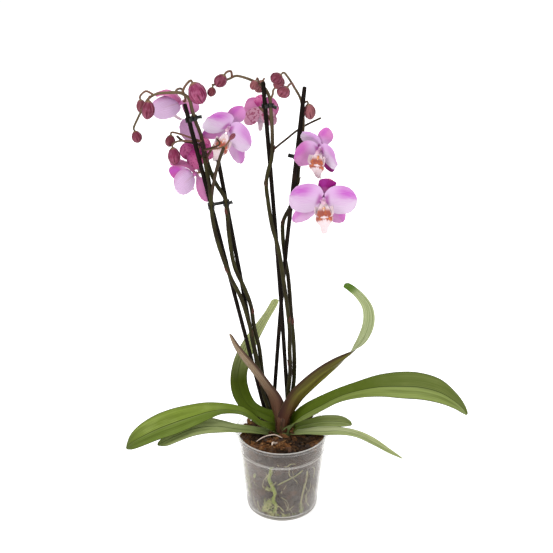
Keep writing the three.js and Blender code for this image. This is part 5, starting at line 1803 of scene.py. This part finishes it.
def chip_tint(source, centre, warmth):
    """Warm, light and grey: dark for the most part, with the warm chips in patches."""
    PATCH_SCALE = 0.055
    GREY_SHARE = 0.14
    # The warm patches are the bark's own; their rise towards the left and right is painted light
    # catching the bark there.
    patch = noise.noise(centre * PATCH_SCALE) + 0.25 * abs(centre.x) / 50
    warm = warmth * min(max(0.32 + 1.9 * patch, 0), 1) * source.random() ** 0.7
    grey = 1 if source.random() < GREY_SHARE else 0.1 * source.random()
    return (warm, source.random() * (0.3 + warm) * warmth, max(grey, 1 - warmth))


class Chips:
    """The bark's chips, each kept inside the pot and off the roots."""

    def __init__(self, bm):
        self.bm = bm
        self.source = random.Random(5)
        self.clear = root_tree()
        self.plain = plain_chip()

    def size(self, ranges):
        return [self.source.uniform(*ends) for ends in ranges]

    def tumbled(self, tilt):
        """Turned any way round the upright, and tilted up to so far."""
        turn = Matrix.Rotation(self.source.uniform(0, 2 * math.pi), 3, "Z")
        return turn @ Matrix.Rotation(self.source.uniform(-tilt, tilt), 3, "X")

    def corner(self, vert, centre, turn, size, taper, near):
        """Where one corner of a chip goes."""
        SHAKE = 0.24
        ROUNDING = 0.14
        PUSHED_DOWN = 4
        x, y, z = vert.co * 2
        narrow = 1 - (1 - taper) * (0.5 + 0.5 * x)
        shake = Vector([self.source.uniform(-SHAKE, SHAKE) for _ in range(3)])
        bulge = 1 - ROUNDING * (abs(x) + abs(y) + abs(z) - 1)
        local = Vector((x * bulge, y * bulge * narrow, z * bulge)) + shake
        local = Vector((local.x * size[0], local.y * size[1], local.z * size[2])) / 2
        point = centre + turn @ local
        for root, radius in near:
            if (point - root).length < radius + ROOT_ROOM:
                inward = Vector((-point.x, -point.y, -PUSHED_DOWN)).normalized()
                point = point + inward * (2 * radius + ROOT_ROOM)
        point.z = max(point.z, FLOOR + FLOOR_ROOM)
        limit = inner_radius(min(point.z, POT_HEIGHT)) - WALL_ROOM
        across = math.hypot(point.x, point.y)
        if across > limit:
            point.x *= limit / across
            point.y *= limit / across
        return point

    def add(self, centre, turn, size, warmth):
        NEAR = 16
        LEAST_TAPER = 0.55
        tint = chip_tint(self.source, centre, warmth)
        chip = bmesh.new()
        chip.from_mesh(self.plain)
        place_layer = chip.verts.layers.float_vector["place"]
        tint_layer = chip.verts.layers.float_vector["tint"]
        taper = self.source.uniform(LEAST_TAPER, 1)
        near = [(p, r) for p, r in self.clear if (p - centre).length < NEAR]
        for vert in chip.verts:
            vert[place_layer] = vert.co * 2
            vert[tint_layer] = tint
            vert.co = self.corner(vert, centre, turn, size, taper, near) * MM
        shaped = bpy.data.meshes.new("shaped_chip")
        chip.to_mesh(shaped)
        chip.free()
        self.bm.from_mesh(shaped)
        bpy.data.meshes.remove(shaped)


def heap_height(r, angle):
    """How far the bark's top rises towards the middle and the back."""
    MIDDLE_RISE = 5
    MIDDLE_RADIUS = 26
    BACK_RISE = 3
    middle = MIDDLE_RISE * math.exp(-((r / MIDDLE_RADIUS) ** 2))
    return middle + BACK_RISE * max(0, math.sin(angle))


def make_bark():
    WALL_LOW = 4
    WALL_RANGE = 96
    WALL_INSET = 1.2
    WALL_TILT = 0.45
    TOP_FROM = 9
    TOP_RANGE = 42
    TOP_SINK = 0.5
    TOP_TILT = 0.5
    CRUMBS_FROM = 10
    CRUMBS_RANGE = 41
    CRUMBS_RISE = 1.2
    CRUMBS_TILT = 0.7
    bm = new_mesh()
    add_turned(bm, BARK_CORE, 48)
    chips = Chips(bm)
    source = chips.source
    for i in range(WALL_CHIPS):
        angle = GOLDEN_ANGLE * i
        height = WALL_LOW + WALL_RANGE * (i + 0.5) / WALL_CHIPS
        size = chips.size(WALL_CHIP_SIZE)
        r = inner_radius(height) - WALL_INSET - size[2] / 2 - source.uniform(0, 2.5)
        tilt = Matrix.Rotation(source.uniform(-WALL_TILT, WALL_TILT), 3, "X")
        tilt = tilt @ Matrix.Rotation(source.uniform(0, math.pi), 3, "Z")
        turn = round_axis(1, angle, 0).to_track_quat("Z", "Y").to_matrix() @ tilt
        chips.add(round_axis(r, angle, height), turn, size, WALL_WARMTH)
    for i in range(TOP_CHIPS):
        angle = GOLDEN_ANGLE * i
        r = TOP_FROM + TOP_RANGE * math.sqrt((i + 0.5) / TOP_CHIPS)
        size = chips.size(TOP_CHIP_SIZE)
        height = BARK_TOP - TOP_SINK + heap_height(r, angle) + source.uniform(-1.5, 1.8)
        chips.add(round_axis(r, angle, height), chips.tumbled(TOP_TILT), size, TOP_WARMTH)
    for _ in range(CRUMBS):
        angle = source.uniform(0, 2 * math.pi)
        r = CRUMBS_FROM + CRUMBS_RANGE * math.sqrt(source.random())
        size = chips.size(CRUMB_SIZE)
        height = BARK_TOP + CRUMBS_RISE + heap_height(r, angle) + source.uniform(0, 1.4)
        chips.add(round_axis(r, angle, height), chips.tumbled(CRUMBS_TILT), size, TOP_WARMTH)
    bark = finish_piece(bm, "bark_chips", bark_material(), ["bark"])
    bark.data.polygons.foreach_set("use_smooth", [False] * len(bark.data.polygons))


# Stage
def stage_material():
    paint = Paint("stage_floor", Roughness=0.9, Specular_IOR_Level=0.1)
    grain = paint.noise(paint.place(), 8, 2)
    paint.set("Base Color", paint.mix(grain, (0.93, 0.93, 0.93), (0.95, 0.95, 0.95)))
    paint.shader.inputs["Emission Color"].default_value = (1, 1, 1, 1)
    paint.shader.inputs["Emission Strength"].default_value = 0.6
    return paint.material


def make_stage():
    HALF_WIDTH = 12
    mesh = bpy.data.meshes.new("stage_floor")
    bm = bmesh.new()
    bmesh.ops.create_grid(bm, x_segments=1, y_segments=1, size=HALF_WIDTH)
    bm.to_mesh(mesh)
    bm.free()
    floor = bpy.data.objects.new("stage_floor", mesh)
    mesh.materials.append(stage_material())
    bpy.context.scene.collection.objects.link(floor)


def add_light(name, place, target, size, power):
    data = bpy.data.lights.new(name, "AREA")
    data.shape = "DISK"
    data.size = size
    data.energy = power
    light = bpy.data.objects.new(name, data)
    light.location = place
    light.rotation_euler = (Vector(target) - Vector(place)).to_track_quat("-Z", "Y").to_euler()
    bpy.context.scene.collection.objects.link(light)


def make_lights():
    target = (0, 0, 0.25)
    add_light("key", (-1.3, -1.6, 1.9), target, 1.4, 44)
    add_light("fill", (1.8, -1.4, 1.1), target, 1.6, 14)
    add_light("top", (0.2, 0.5, 2.4), target, 1.8, 22)
    add_light("back", (0.6, 2.0, 1.2), target, 1.4, 12)
    world = bpy.data.worlds.new("studio")
    world.use_nodes = True
    background = world.node_tree.nodes["Background"]
    background.inputs["Color"].default_value = (1, 1, 1, 1)
    background.inputs["Strength"].default_value = 0.42
    bpy.context.scene.world = world
    bpy.context.scene.view_settings.view_transform = "Standard"


make_camera()
make_stage()
make_lights()
make_pot()
make_bark()
make_crown()
make_roots()
make_leaves()
make_stakes()
make_spikes()
make_clips()
make_blooms()
make_buds()
